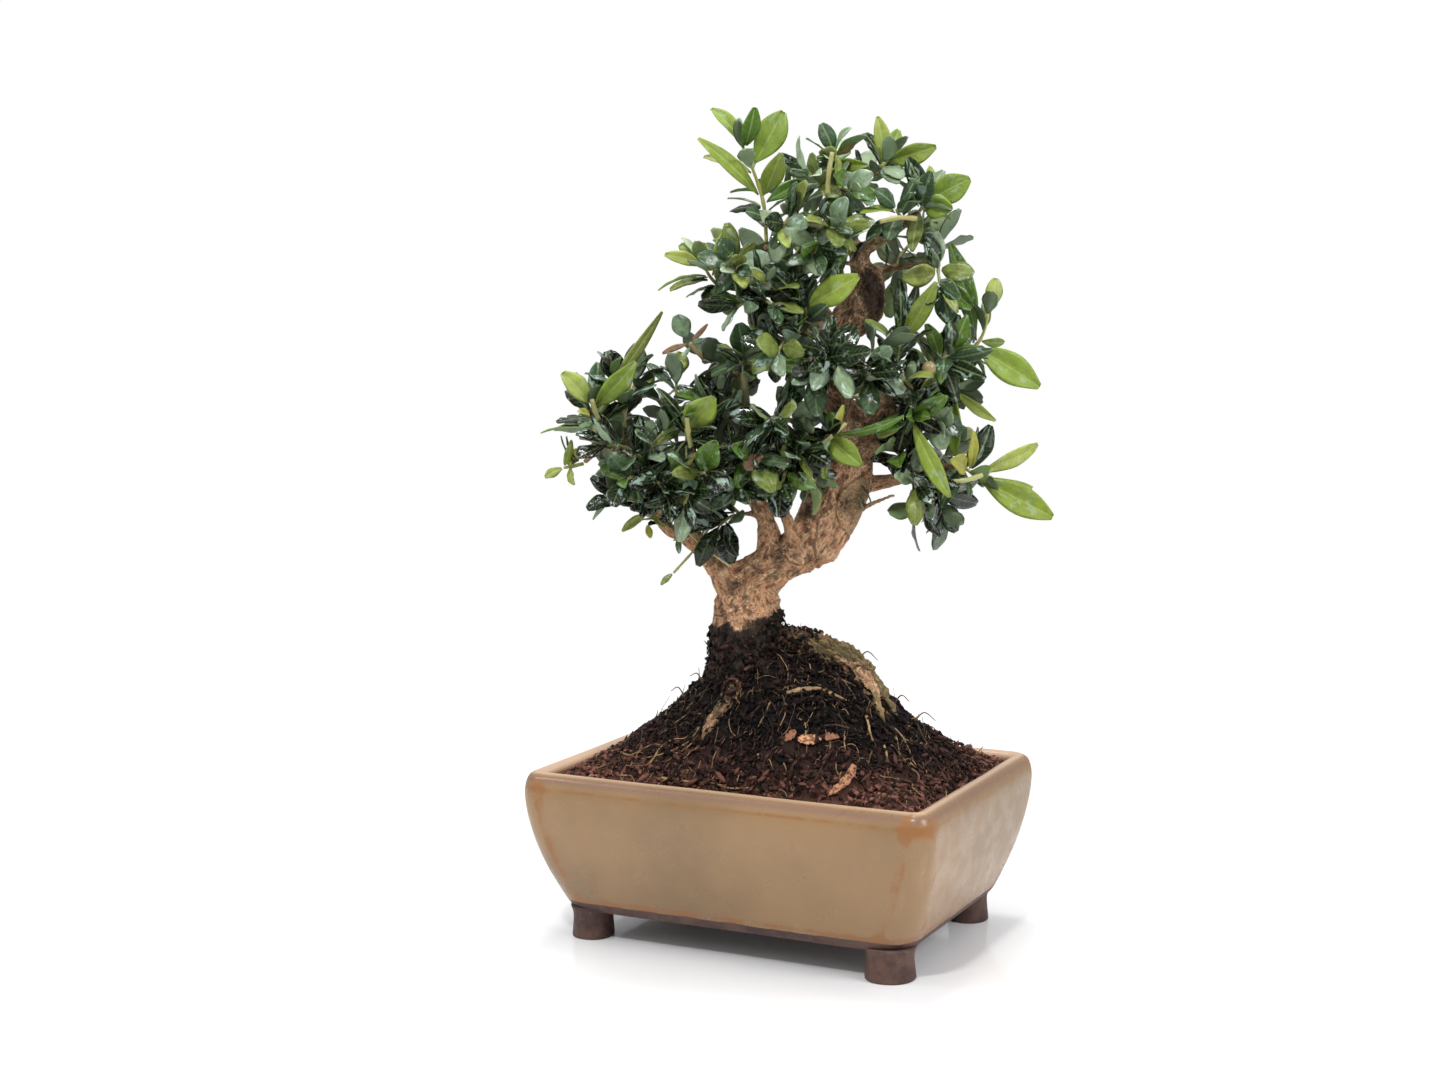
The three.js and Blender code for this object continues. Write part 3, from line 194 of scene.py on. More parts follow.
# Young bright shoots: the limb point each grows from, its stem, and its leaves as place along the stem, tip,
# width, roll away from facing the viewer and tone
SHOOTS = {
    "crown_left_shoot": {
        "from": [-6.5, -11, 264],
        "stem": [[-6, -12, 270], [-7, -13, 285], [-11, -14, 298], [-15, -15, 307]],
        "leaves": [
            [0.38, [-34, -20, 311], 7, 15, "b"], [1, [-27, -12, 323], 6.5, 25, "b"],
            [0.96, [-10, -22, 323], 7, 20, "m"], [0.7, [1, -10, 321], 11.5, 10, "b"],
            [0.4, [0, -24, 306], 8.5, 20, "b"], [0.3, [-21, -6, 283], 6.5, 35, "d"],
            [0.62, [-31, -5, 303], 5, 30, "p"], [0.2, [-14, -20, 283], 5.5, 30, "g"],
            [0.34, [10, -2, 294], 6, 30, "m"],
        ],
    },
    "left_top_shoot": {
        "from": [-12, -8, 252],
        "stem": [[-24, -12, 254], [-28, -13, 258], [-30, -14, 262]],
        "leaves": [
            [1, [-40, -10, 271], 6.5, 15, "b"], [0.6, [-20, -2, 277], 6, 25, "b"],
            [0.9, [-46, -18, 267], 5, 30, "p"], [0.5, [-49, -20, 254], 4.5, 60, "b"],
            [0.7, [-24, -24, 268], 5, 35, "b"], [0.75, [-29, 2, 272], 7.5, 20, "g"],
            [0.1, [-29, -18, 247], 8, 15, "d"],
        ],
    },
    "far_left_shoot": {
        "from": [-69, -9, 194],
        "stem": [[-72, -12, 198], [-73.5, -14, 203], [-74, -15, 208]],
        "leaves": [
            [1, [-86, -20, 222], 8.5, 15, "p"], [0.9, [-56, -24, 225], 9, 30, "b"],
            [0.05, [-95, -18, 198], 4, 65, "b"], [0.8, [-45.5, -2, 246.5], 4.5, 60, "o"],
            [0.6, [-80, -24, 206], 3.5, 20, "y"], [0.95, [-71, -4, 226], 7, 25, "g"],
        ],
    },
    "far_left_sprig": {
        "from": [-69, -9, 194],
        "stem": [[-77, -2, 186], [-82, -1, 184.5], [-85, 0, 184]],
        "leaves": [
            [1, [-93, -4, 180], 4, 25, "p"], [0.8, [-79, 4, 192], 4.5, 20, "y"],
            [1, [-82, -8, 196], 3.5, 30, "b"], [0.6, [-81, -8, 177], 4, 40, "p"],
        ],
    },
    "left_pad_shoot": {
        "from": [-36.5, -15, 187],
        "stem": [[-36.8, -20, 191], [-37, -24, 195], [-37.5, -27, 199]],
        "leaves": [
            [1, [-26, -36, 212], 11.5, 12, "b"], [0.9, [-48, -30, 216], 6, 40, "d"],
            [0.9, [-16, -30, 213], 5, 50, "d"], [0.2, [-24, -34, 192], 6.5, 35, "d"],
        ],
    },
    "centre_shoot": {
        "from": [9.5, -16, 236],
        "stem": [[9, -20, 239], [9, -22, 242], [9, -24, 245.5]],
        "leaves": [
            [0.95, [-7, -28, 263], 8, 20, "d"], [1, [30, -34, 258], 10.5, 10, "b"],
            [0.8, [28, -18, 271], 5.5, 35, "d"], [0.15, [18, -34, 247], 6.5, 30, "g"],
            [0.1, [-3, -34, 238], 6, 40, "d"],
        ],
    },
    "inner_left_shoot": {
        "from": [-15, -13, 220],
        "stem": [[-15, -16, 221.5], [-15, -18, 224], [-15, -19, 226]],
        "leaves": [
            [1, [-17, -22, 241], 9.5, 8, "g"], [0.8, [-1, -26, 224], 4, 60, "p"],
            [0.6, [-26, -28, 231], 6, 40, "g"], [0.4, [-29, -14, 220], 7, 30, "g"],
        ],
    },
    "crown_shoot": {
        "from": [20, 1, 297],
        "stem": [[20, -1, 298.5], [20, -2, 301], [20, -3, 304]],
        "leaves": [
            [1, [14.5, -6, 316.5], 7.2, 15, "g"], [0.9, [29, -8, 310], 3.5, 35, "r"],
            [0.5, [34, -16, 300], 5, 40, "b"], [0.4, [12, 12, 304], 7, 30, "d"],
        ],
    },
    "crown_right_shoot": {
        "from": [36, 0, 296.5],
        "stem": [[37.5, -1, 298], [38.5, -2, 299.5], [39.5, -2, 301]],
        "leaves": [
            [0.6, [37, -6, 319], 6.5, 12, "p"], [1, [45, 4, 314], 6, 15, "b"], [1, [60, -8, 307], 8, 25, "b"],
            [0.2, [33, 8, 310], 5, 20, "m"], [0.5, [51, 14, 304], 6, 40, "d"],
        ],
    },
    "right_top_shoot": {
        "from": [51, -5, 280.5],
        "stem": [[52.5, -7, 282], [54, -8, 284], [55.5, -9, 286.5]],
        "leaves": [
            [0.9, [73, -14, 295], 11, 12, "b"], [0.6, [66, -20, 283], 9.5, 20, "b"],
            [0.3, [57, -22, 298], 8, 20, "g"], [0.8, [46, 0, 305], 7, 25, "d"],
            [0.9, [57, 6, 300], 6, 30, "b"], [0.1, [50, -20, 266], 6, 20, "o"],
        ],
    },
    "right_top_inner": {
        "from": [46, -4, 277],
        "stem": [[46, -10, 279], [45, -13, 281], [44, -15, 283]],
        "leaves": [
            [1, [36, -22, 291], 7, 20, "g"], [0.9, [29, -24, 281], 6, 55, "b"],
            [0.6, [50, -28, 290], 6, 40, "g"], [0.4, [40, -26, 272], 7, 25, "g"],
        ],
    },
    "right_tall_shoot": {
        "from": [57, 0, 222],
        "stem": [[69, 4, 228], [75, 4, 231], [78, 4, 236], [79.5, 4, 243]],
        "leaves": [
            [0.35, [63, 0, 272], 8.5, 15, "m"], [1, [83, 8, 258], 6.5, 10, "p"],
            [0.3, [101, -6, 214], 12, 10, "b"], [0.45, [86, 14, 232], 4, 30, "b"],
            [0.1, [72, -14, 240], 5, 40, "d"],
        ],
    },
    "right_upper_shoot": {
        "from": [40, 2, 207],
        "stem": [[44.5, -8, 224], [45, -10, 228], [45.5, -11, 231]],
        "leaves": [
            [1, [60, -20, 257], 8, 15, "b"], [0.9, [45, -8, 258], 6, 15, "d"], [1, [53, -2, 256], 6, 15, "d"],
            [0.3, [34, -26, 228], 7, 30, "g"],
        ],
    },
    "right_knob_shoot": {
        "from": [57, 0, 222],
        "stem": [[60, -5, 224], [62, -9, 225.5], [64, -12, 227]],
        "leaves": [
            [0.2, [56, -14, 240], 5.5, 20, "m"], [0.9, [72, -18, 243], 7, 25, "m"],
            [0.6, [82, -22, 229], 6, 35, "g"], [0.5, [80, -26, 218], 6, 30, "d"],
            [0.1, [68, -20, 208], 7, 20, "d"], [1, [66, -26, 240], 6, 40, "d"],
        ],
    },
    "right_under_shoot": {
        "from": [57, 0, 222],
        "stem": [[62, 4, 218], [64.5, 5, 216], [66.5, 5, 214]],
        "leaves": [
            [1, [67, -2, 187], 7, 20, "b"], [0.9, [84, 2, 201], 4, 35, "p"], [0.6, [78, 14, 208], 7, 30, "d"],
            [0.4, [60, 18, 202], 6.5, 30, "d"],
        ],
    },
    "low_right_arch": {
        "from": [49, 2, 213.5],
        "stem": [[48, -8, 206], [49, -12, 204], [50, -15, 203]],
        "leaves": [
            [1, [66, -22, 170], 7, 25, "b"], [0.8, [65, -24, 212], 7.5, 25, "m"],
            [0.4, [36, -20, 196], 7, 30, "o"],
        ],
    },
    "low_right_shoot": {
        "from": [64, 8, 184],
        "stem": [[68, 5, 184], [71.5, 4, 183], [75, 3, 180]],
        "leaves": [
            [1, [107, 0, 163], 11.5, 10, "b"], [0.95, [99, 14, 175], 6, 35, "p"],
            [0.7, [74, -6, 199], 4.5, 20, "y"], [0.75, [82, 8, 201], 8, 15, "d"],
            [0.5, [64, -12, 187], 8, 30, "y"], [0.9, [102, 18, 193], 6.5, 25, "p"],
            [0.3, [62, -4, 167], 7, 25, "g"],
        ],
    },
    "front_bright_shoot": {
        "from": [24.5, -13, 207],
        "stem": [[20, -20, 199], [18.5, -22, 197], [17, -24, 196]],
        "leaves": [
            [0.9, [31, -34, 184], 9, 15, "b"], [1, [16, -32, 178], 4, 30, "b"],
            [0.6, [49, -28, 203], 4.5, 60, "m"], [0.8, [24, -32, 209], 4.5, 35, "y"],
            [0.4, [4, -32, 196], 6.5, 30, "d"],
        ],
    },
}

# Ordinary dark sprays: the limb point each grows from and the tips of its leafy stems
SPRAYS = {
    "left_low": {"from": [-46, -6, 161.5], "tips": [[-63, -12, 172], [-58, 8, 176]]},
    "left_front": {"from": [-52, -6, 177], "tips": [[-60, -28, 180], [-46, -30, 176]]},
    "left_mid": {"from": [-52, -6, 177], "tips": [[-46, -26, 198], [-68, -26, 193]]},
    "left_outer": {"from": [-66, -8, 192], "tips": [[-72, 14, 200], [-66, 18, 194]]},
    "left_upper": {"from": [-61.5, -8, 188.5], "tips": [[-64, -12, 219], [-57, 4, 218]]},
    "left_rear": {"from": [-52, -6, 177], "tips": [[-48, 22, 186], [-62, 20, 184]]},
    "left_crest": {"from": [-36.5, -12, 176], "tips": [[-50, 4, 213], [-41, -4, 219]]},
    "arm_front": {"from": [-36.5, -12, 176], "tips": [[-30, -36, 182], [-38, -32, 170]]},
    "hanging_left": {"from": [-7, -6, 165], "tips": [[-25, -14, 161], [-26, -6, 172]]},
    "middle_front": {"from": [-16, -10, 185], "tips": [[-24, -32, 192], [-10, -34, 186]]},
    "middle_upper": {"from": [-14, -12, 200], "tips": [[-28, -16, 208], [-24, 4, 204]]},
    "middle_low": {"from": [-12, -8, 175], "tips": [[-17, -30, 178], [-22, -20, 184]]},
    "middle_crest": {"from": [-15, -13, 218], "tips": [[-30, -2, 226], [-16, 8, 223]]},
    "inner_front": {"from": [-1.5, -14, 186], "tips": [[8, -32, 190], [0, -34, 178], [10, -22, 180]]},
    "inner_right": {"from": [-2.5, -18, 200], "tips": [[6, -22, 202], [-6, -34, 202]]},
    "centre_left": {"from": [9.5, -16, 235], "tips": [[-2, -34, 228], [-8, -20, 234]]},
    "centre_hang": {"from": [14, -16, 230], "tips": [[12, -34, 220], [22, -36, 224]]},
    "centre_high": {"from": [8, -6, 236], "tips": [[-4, -26, 254], [2, -12, 258]]},
    "centre_right": {"from": [24, -15, 221], "tips": [[34, -26, 218], [40, -18, 231]]},
    "arm_under": {"from": [49, 2, 213.5], "tips": [[60, -14, 202], [46, -22, 218]]},
    "arm_back": {"from": [49, 2, 213.5], "tips": [[62, 18, 212], [66, 14, 228]]},
    "low_front": {"from": [53, 8, 181], "tips": [[52, -12, 176], [44, -8, 190]]},
    "low_back": {"from": [53, 8, 181], "tips": [[58, 28, 178], [68, 26, 190]]},
    "low_hang": {"from": [64, 8, 184], "tips": [[52, 4, 167], [63, 2, 167]]},
    "upper_left_low": {"from": [-12, -8, 252], "tips": [[-4, -26, 247], [-17, -20, 246]]},
    "upper_left_high": {"from": [-10, -10, 259], "tips": [[-18, -26, 260], [-14, 8, 262]]},
    "left_knob": {"from": [9.5, -5, 278], "tips": [[0, -20, 276], [2, -8, 288]]},
    "crown_front": {"from": [17, -3, 274], "tips": [[12, -26, 266], [20, -26, 276]]},
    "crown_mid": {"from": [19.5, 2, 285], "tips": [[10, -12, 296], [26, -16, 290]]},
    "crown_back": {"from": [19.5, 2, 285], "tips": [[10, 20, 292], [28, 20, 294]]},
    "neck_front": {"from": [29.5, 0, 262], "tips": [[13, -14, 257], [20, -18, 270]]},
    "side_front": {"from": [52, 2, 261.5], "tips": [[61, -12, 254], [60, 8, 270]]},
    "side_back": {"from": [41, 3, 260.5], "tips": [[44, 24, 256], [52, 20, 272]]},
    "back_low_a": {"from": [-14, 34, 176], "tips": [[-30, 46, 184], [-26, 34, 194]]},
    "back_low_b": {"from": [-18, 42, 188], "tips": [[-8, 56, 196], [-26, 56, 200]]},
    "back_middle_a": {"from": [20, 38, 212], "tips": [[34, 50, 210], [18, 56, 204]]},
    "back_middle_b": {"from": [14, 47, 222], "tips": [[10, 58, 236], [-4, 46, 230]]},
    "back_right_a": {"from": [52, 33, 214], "tips": [[64, 46, 222], [52, 46, 204]]},
    "back_high_a": {"from": [7, 28, 254], "tips": [[-6, 38, 264], [10, 34, 272]]},
}

# Tones that a leaf of a spray is drawn from, each the more likely the more often it stands here. The letters
# are explained at the tints below
MATURE_TONES = "ddddkkkkkggghhhmmoop"
# Leaves added between the pairs draw on darker tones, as painted shade for leaves that stand inside the
# canopy
EXTRA_TONES = "ddddkkkkgghmmoo"
# Painted light and shade: above the first height the leaves are greyer and paler, as lit leaves that reflect
# the sky, and below the second one nearly black, as leaves in shade
PAINTED_LIGHT_ABOVE, LIT_TONES = 250, "ddggghhhqqqqmmooopp"
PAINTED_SHADE_BELOW, SHADED_TONES = 222, "dddddkkkkkkgghhmmop"
# Pairs of smaller leaves along a spray's stem: place, size and opening. They are slimmer and may stand closer
EXTRA_PAIRS = [(0.3, 1.05, 1.2), (0.7, 1.05, 1.0), (0.12, 0.95, 1.3), (0.99, 0.8, 0.5), (0.45, 0.7, 1.4)]
EXTRA_CLEAR, EXTRA_SLIM = (0.25, 0.2, 0.4), 0.78
# Small shaded leaves along the thin limbs, in dark tones that paint the shade they stand in: their tones,
# spacing and the thickest wood that bears them
INNER_TONES = "ddddkkkkgo"
INNER_SPACING, INNER_THICKEST = 5.5, 2.9
YOUNG_TONES = "bpym"
# Places of open air or bare wood between the sprays, seen in the viewer's plane: right, up and reach. The
# added leaves keep clear of them
OPEN_AIR = [
    (-20, 241, 9), (-15, 165, 9), (63, 258, 8), (77, 163, 9), (-86, 181, 10), (-66, 163, 9), (74, 272, 8),
    (13, 318, 8), (42, 241, 4), (41, 256, 4), (-37, 222, 7), (-4.5, 213, 4), (52, 254, 7), (12, 160, 9),
    (60, 190, 6), (36, 291, 5), (42, 284, 6), (24, 152, 14), (-32, 150, 8), (44, 168, 12), (32, 250, 8),
    (23, 240, 6), (29, 262, 4), (34, 230, 4), (-7, 297, 4), (-6, 285, 5), (-6, 273, 4), (84, 236, 9),
    (4, 292, 3), (25, 290, 3), (-14, 275, 6), (-12, 232, 5), (-36, 234, 10), (47, 270, 5), (24, 184, 9),
    (57, 223, 4), (23.6, 221, 5), (23.8, 210, 5), (38, 207, 4), (48, 214, 4), (-11, 262, 3), (10, 300, 3),
]
# Colour of each tone and how wet its leaves shine: b, p, y, m for young leaves that are bright, pale, yellow
# and mid green; d, k for mature ones that are dark and nearly black; g, h, q for grey-green ones, each paler,
# their grey partly painted reflection of the bright sky on wet leaves; o olive, r reddish, n brown bud; s, w,
# t for green, woody and tan stems
TINTS = {
    "b": "#778A33",
    "p": "#8D9749",
    "y": "#A2A345",
    "m": "#4C6A22",
    "d": "#15240F",
    "k": "#060A06",
    "g": "#3A5036",
    "h": "#75896C",
    "q": "#96A788",
    "o": "#6A7534",
    "r": "#8A6A3C",
    "n": "#96705A",
    "s": "#B0A463",
    "w": "#A08F62",
    "t": "#B9A988",
}
# How wet each tone's leaves shine: this sets their gloss and water beads, and how strongly the painted sheen
# streaks lie on them
SHINE = {
    "b": 0.4, "p": 0.3, "y": 0.3, "m": 0.6, "d": 1.0, "k": 1.0,
    "g": 0.9, "h": 1.5, "q": 1.2, "o": 0.5, "r": 0.2, "n": 0.1,
}

# Small leaves and buds on their own, seen in the viewer's frame: base, tip, width, tone and roll
LOOSE_LEAVES = [
    ([-36.3, -8, 233.3], [-41.4, -9, 243.7], 7.3, "h", 5),
    ([-35.5, -8, 232.5], [-28.2, -9, 240], 1.8, "n", 20),
    ([-35.8, -8, 232], [-47.3, -9, 228.2], 2.2, "n", 10), ([-35, -8, 232.3], [-29.3, -12, 234.1], 2, "h", 30),
    ([-35.2, -8, 231], [-39.1, -12, 225.2], 1.8, "h", 20),
    ([-23.4, -10, 163.2], [-19.9, -11, 144.5], 8.8, "k", 8),
    ([-6.5, -34, 188.6], [-15.5, -35, 183.2], 6, "n", 20),
    ([-11.1, -10, 255], [-6.8, -11, 247.6], 2.2, "n", 15), ([54, 0, 262], [59.5, 0, 265], 2.4, "n", 20),
    ([55.5, -3, 263.5], [57, -5, 256.8], 5.5, "h", 10), ([17.5, -24, 277], [15.5, -26, 269], 6, "h", 10),
    ([3.6, -22, 268.5], [10.3, -24, 276], 6, "h", 20), ([24, 7, 268], [9, 8, 262], 10, "o", 15),
    ([-65.3, -8, 173.8], [-75.9, -10, 168.3], 2.6, "p", 20),
    ([-66, -8, 173], [-74.7, -9, 162.9], 2.2, "h", 30),
    ([-52, -12, 166.5], [-63.4, -15, 158.2], 3.8, "p", 15),
    ([-45, -10, 160.1], [-52, -12, 165.2], 3, "y", 20),
    ([-52.8, -10, 162], [-51.2, -11, 155.8], 2.5, "y", 10),
    ([-40.6, -12, 157.4], [-40.2, -12, 149.6], 2.4, "g", 15),
    ([-42.6, -13, 142.5], [-48.1, -14, 137.5], 2.6, "o", 20),
]
# Stems on their own, seen in the viewer's frame: middle line, radius and tone
LOOSE_STEMS = [
    ([[-30.5, -7, 226], [-33, -8, 229], [-35.8, -8, 232.4]], 0.8, "n"),
    ([[-40.8, -10, 160], [-40.9, -12, 158], [-40.6, -12, 156.5]], 0.35, "w"),
    ([[-28.5, -10, 160], [-31.5, -12, 156], [-34.8, -13, 151.1], [-42.6, -13, 142.5]], 0.45, "s"),
    ([[-37.1, -11, 158.6], [-31, -12, 153], [-26, -13, 149], [-20.5, -13, 145]], 0.35, "t"),
    ([[-14.5, -12, 206], [-14.3, -17, 214], [-15, -18, 222], [-15.1, -19, 226]], 1.3, "t"),
    ([[-37.1, -34, 203.5], [-36.3, -34, 196.4], [-34.8, -33, 189]], 1.0, "w"),
    ([[-35.6, -33, 190], [-34.8, -34, 187.6]], 1.6, "w"),
    ([[-34.8, -33, 188], [-38.7, -34, 183.5], [-43.4, -33, 180.8]], 0.9, "s"),
    ([[-73.9, -24, 210.5], [-72.6, -23, 206], [-71.2, -22, 202.7]], 0.9, "w"),
    ([[24.8, -30, 201], [17, -31, 194], [7.6, -30, 186.7]], 0.8, "w"),
    ([[19.3, -24, 304.7], [18, -25, 297], [17.4, -24, 288.7]], 0.9, "w"),
    ([[37.6, -24, 278.3], [44.5, -25, 279.8], [51.9, -24, 279.5]], 0.9, "w"),
    ([[8.8, -26, 278.3], [15.8, -27, 277.2]], 1.4, "n"),
    ([[66.4, -16, 178], [72, -17, 178.6], [78.1, -16, 180.5]], 0.9, "s"),
]
# Sawn end of the right arm: its middle line and radius
KNOB = ([[56.6, -20, 222], [57.2, -25, 222.2]], 2.5)

# Thin roots that stand clear of the mound, seen in the viewer's frame
STRAYS = [
    [[-31, -4, 98], [-33.5, -5, 102.5], [-36.5, -5, 101.5]], [[-38, -6, 92], [-41, -7, 97], [-44, -7, 95.5]],
    [[30, -8, 108], [33.5, -9, 111], [37.5, -9, 107.5]], [[52, -6, 83], [56, -7, 86.5], [60.5, -7, 83.2]],
    [[-25, -8, 102], [-27, -9, 107], [-29.5, -9, 106]], [[44, -8, 90], [47, -9, 93.5], [50, -9, 91]],
]

# Pale rootlets on the mound, as places in the pot's frame, radius and paleness
ROOTLETS = [
    ([[40.8, -12.5], [43.5, -16.1], [45, -18.5], [47.4, -20.6]], 0.6, 0.9),
    ([[50.8, -18.7], [53.7, -23], [55, -26], [56.5, -28.8]], 0.5, 0.85),
    ([[48.3, -8.7], [51.1, -5.5], [55.2, -7.5], [60, -12]], 0.6, 0.7),
    ([[49, -6], [53, -11], [56.1, -15.7], [61, -17]], 0.45, 0.6),
    ([[7.9, -28.6], [7.6, -31.5], [6.5, -33], [5.8, -34.7]], 0.5, 0.55),
    ([[-33.9, -39.5], [-35.6, -44.5], [-39.2, -46], [-46, -45]], 0.5, 0.6),
    ([[-19.4, -33.9], [-22, -38], [-29, -41], [-40, -43]], 0.5, 0.6),
    ([[-29, -48.9], [-18, -49.8], [-8, -49.6], [2, -50.4], [9, -50]], 0.6, 0.75),
    ([[-12.3, -28.9], [-20, -30], [-26, -28], [-34, -30]], 0.45, 0.55),
    ([[-52, -38], [-46, -40], [-38, -37], [-30, -40]], 0.45, 0.5),
    ([[62, -34], [66, -30], [71, -31]], 0.4, 0.8),
]
# Flakes on the mound: place, heading, length, width, curl and tone
CHIPS = [
    (27.0, -34.3, 0.42, 9.0, 2.6, 0.0, 0.95), (19.9, -36.1, 0.75, 4.8, 2.2, 0.05, 0.15),
    (34.6, -30.6, 0.5, 5.4, 2.2, 0.0, 0.2), (44.9, -43.0, 1.18, 14.5, 3.0, 0.12, 0.5),
]
# Rough dark places of the bark in the viewer's frame: right, away, up, reach and strength
SCARS = [
    (36, -6, 250, 7.5, 1.0), (34, -6, 257, 5, 0.9), (29, -9, 243, 6, 0.4), (11, -11, 177, 7, 0.9),
    (8, -9, 168, 5, 0.7), (24, -12, 171, 5, 0.45), (-18.5, -12, 140, 4.5, 0.6), (-2, -10, 151, 6, 0.5),
    (30, -8, 205, 6, 0.5), (22, -8, 190, 5, 0.4),
]

CRUMBS, FOOT_CRUMBS, FIBRES = 11500, 2600, 1100
# A crumb larger than the first is rounder, and none lies nearer to a chip's middle than the second
LARGE_CRUMB, CLEAR_CHIP = 0.95, 3.2
FIBRE_LIMIT_X, FIBRE_LIMIT_Y = 75.0, 51.5
# Wet peat clings to the wood above this height, where the mound doesn't cover it, and where roots and trunk
# are wetter than these shares
FOOT_FROM, WET_ROOT, WET_TRUNK = 88, 0.44, 0.8
# The trunk is wet up to a line that rises to the right from its foot's left side, and dry above this height
WET_LINE, WET_SLANT, TRUNK_FOOT_LEFT, DRY_ABOVE = 127.5, 0.2, 14, 134
WOOD_VOXEL = 0.85
# Rough shapes of a large and a small crumb
BALL = [
    (0, 0, 1), (0.9, 0, 0.4), (0.28, 0.85, 0.42), (-0.72, 0.53, 0.4), (-0.72, -0.53, 0.42),
    (0.28, -0.85, 0.4), (0.72, 0.53, -0.42), (-0.28, 0.85, -0.4), (-0.9, 0, -0.42), (-0.28, -0.85, -0.4),
    (0.72, -0.53, -0.42), (0, 0, -1),
]
BALL_FACES = [
    (0, 1, 2), (0, 2, 3), (0, 3, 4), (0, 4, 5), (0, 5, 1), (1, 6, 2), (2, 7, 3), (3, 8, 4), (4, 9, 5),
    (5, 10, 1), (6, 7, 2), (7, 8, 3), (8, 9, 4), (9, 10, 5), (10, 6, 1), (11, 7, 6), (11, 8, 7), (11, 9, 8),
    (11, 10, 9), (11, 6, 10),
]
GRAIN = [(1, 0, 0), (0, 1, 0), (-1, 0, 0), (0, -1, 0), (0, 0, 1), (0, 0, -1)]
GRAIN_FACES = [(0, 1, 4), (1, 2, 4), (2, 3, 4), (3, 0, 4), (1, 0, 5), (2, 1, 5), (3, 2, 5), (0, 3, 5)]
# Seeds of the random draws
CRUMB_SEED, FIBRE_SEED, FOOT_SEED = 4127, 881, 733
INNER_LEAF_SEED, LOOSE_LEAF_SEED, LOOSE_STEM_SEED, KNOB_SEED = 70001, 80001, 81001, 82001

# Lamps: place, height of the point that each is aimed at, and size, all in metres, and power in watts
LIGHTS = {
    "key": ((1.5, -0.25, 1.15), 0.15, 0.7, 18),
    "top": ((-0.2, 0.3, 1.6), 0.15, 0.5, 13),
    "fill": ((-0.7, -1.3, 0.7), 0.15, 1.2, 2.6),
    "sparkle": ((0.1, -1.1, 1.5), 0.2, 0.14, 14),
    "left_sparkle": ((-1.0, -0.7, 1.3), 0.2, 0.12, 3),
}
# The photo's camera: its place in the pot's frame, the ways to its right and its back, and its focal length
CAMERA_PLACE = (357.7, -776.1, 257.1)
CAMERA_RIGHT, CAMERA_BACK = (0.8966, 0.4428, -0.0042), (0.4401, -0.8899, 0.1200)
FOCAL_PIXELS, IMAGE_PIXELS, SENSOR_WIDTH = 2200, 1445, 36
FLOOR_REACH = 6.0


# Places and lines


def seen(points):
    """Places of points that the viewer sees at right and up in the trunk's plane, each away behind it."""
    points = np.asarray(points, float)
    scale = 1 + points[..., 1:2] / EYE_DISTANCE
    eye = np.array([EYE_RIGHT, 0, EYE_UP])
    spread = eye + (points[..., :3] - eye) * scale
    spread[..., 1] = points[..., 1]
    return spread


def turned(points, angle):
    """Points turned about the upright axis."""
    points = np.asarray(points, float)
    cos, sin = math.cos(angle), math.sin(angle)
    x = points[..., 0] * cos - points[..., 1] * sin
    y = points[..., 0] * sin + points[..., 1] * cos
    return np.stack([x, y, points[..., 2]], axis=-1)


def from_pot(points):
    """Row frame, in metres, of points in the pot's frame."""
    return np.asarray(points, float) * MM + POT_MIDDLE


def from_viewer(points):
    """Row frame, in metres, of points in the viewer's frame."""
    return from_pot(turned(points, POT_TURN))


def unit(vector):
    return vector / np.linalg.norm(vector, axis=-1, keepdims=True)


def swung(vector, axis, angle):
    """A vector turned about a unit axis."""
    cos, sin = math.cos(angle), math.sin(angle)
    return vector * cos + np.cross(axis, vector) * sin + axis * np.dot(axis, vector) * (1 - cos)


def random_from(seed):
    """Even random numbers from a whole-number seed, the same ones that the model's leaves were placed by."""
    mask = 0xFFFFFFFF
    state = seed & mask
    while True:
        state = (state + 0x6D2B79F5) & mask
        mixed = ((state ^ (state >> 15)) * (state | 1)) & mask
        mixed ^= (mixed + (((mixed ^ (mixed >> 7)) * (mixed | 61)) & mask)) & mask
        yield (mixed ^ (mixed >> 14)) / 4294967296


class Line:
    """Smooth line through points, with the radius carried along."""

    def __init__(self, points, radii):
        inner = np.asarray(points, float)
        self.points = np.vstack([2 * inner[0] - inner[1], inner, 2 * inner[-1] - inner[-2]])
        self.radii = np.asarray(radii, float)
        self.spans = len(inner) - 1

    def place(self, t):
        along = np.clip(np.asarray(t, float), 0, 1) * self.spans
        step = np.minimum(along.astype(int), self.spans - 1)
        w = (along - step)[..., None]
        before, start, end, after = (self.points[step + k] for k in range(4))
        leave, arrive = (end - before) / 2, (after - start) / 2
        return (
            start
            + leave * w
            + (3 * (end - start) - 2 * leave - arrive) * w**2
            + (2 * (start - end) + leave + arrive) * w**3
        )

    def direction(self, t):
        t = np.asarray(t, float)
        return unit(self.place(np.minimum(t + 1e-4, 1)) - self.place(np.maximum(t - 1e-4, 0)))

    def radius(self, t):
        return np.interp(np.asarray(t, float) * self.spans, np.arange(self.spans + 1), self.radii)

    def length(self):
        return np.linalg.norm(np.diff(self.place(np.linspace(0, 1, 40)), axis=0), axis=1).sum()

    def frames(self, t):
        """Places and two crosswise directions along the line, turned as little as can be."""
        along = self.direction(t)
        across = np.zeros_like(along)
        spare = np.array([1.0, 0, 0]) if abs(along[0][2]) > 0.9 else np.array([0, 0, 1.0])
        last = np.cross(along[0], spare)
        for i, way in enumerate(along):
            last = unit(last - way * np.dot(last, way))
            across[i] = last
        return self.place(t), across, np.cross(along, across)


# Pieces of the object


def put_in_scene(name, data):
    """A new object of the scene that holds this mesh, lamp or camera."""
    made = bpy.data.objects.new(name, data)
    bpy.context.scene.collection.objects.link(made)
    return made


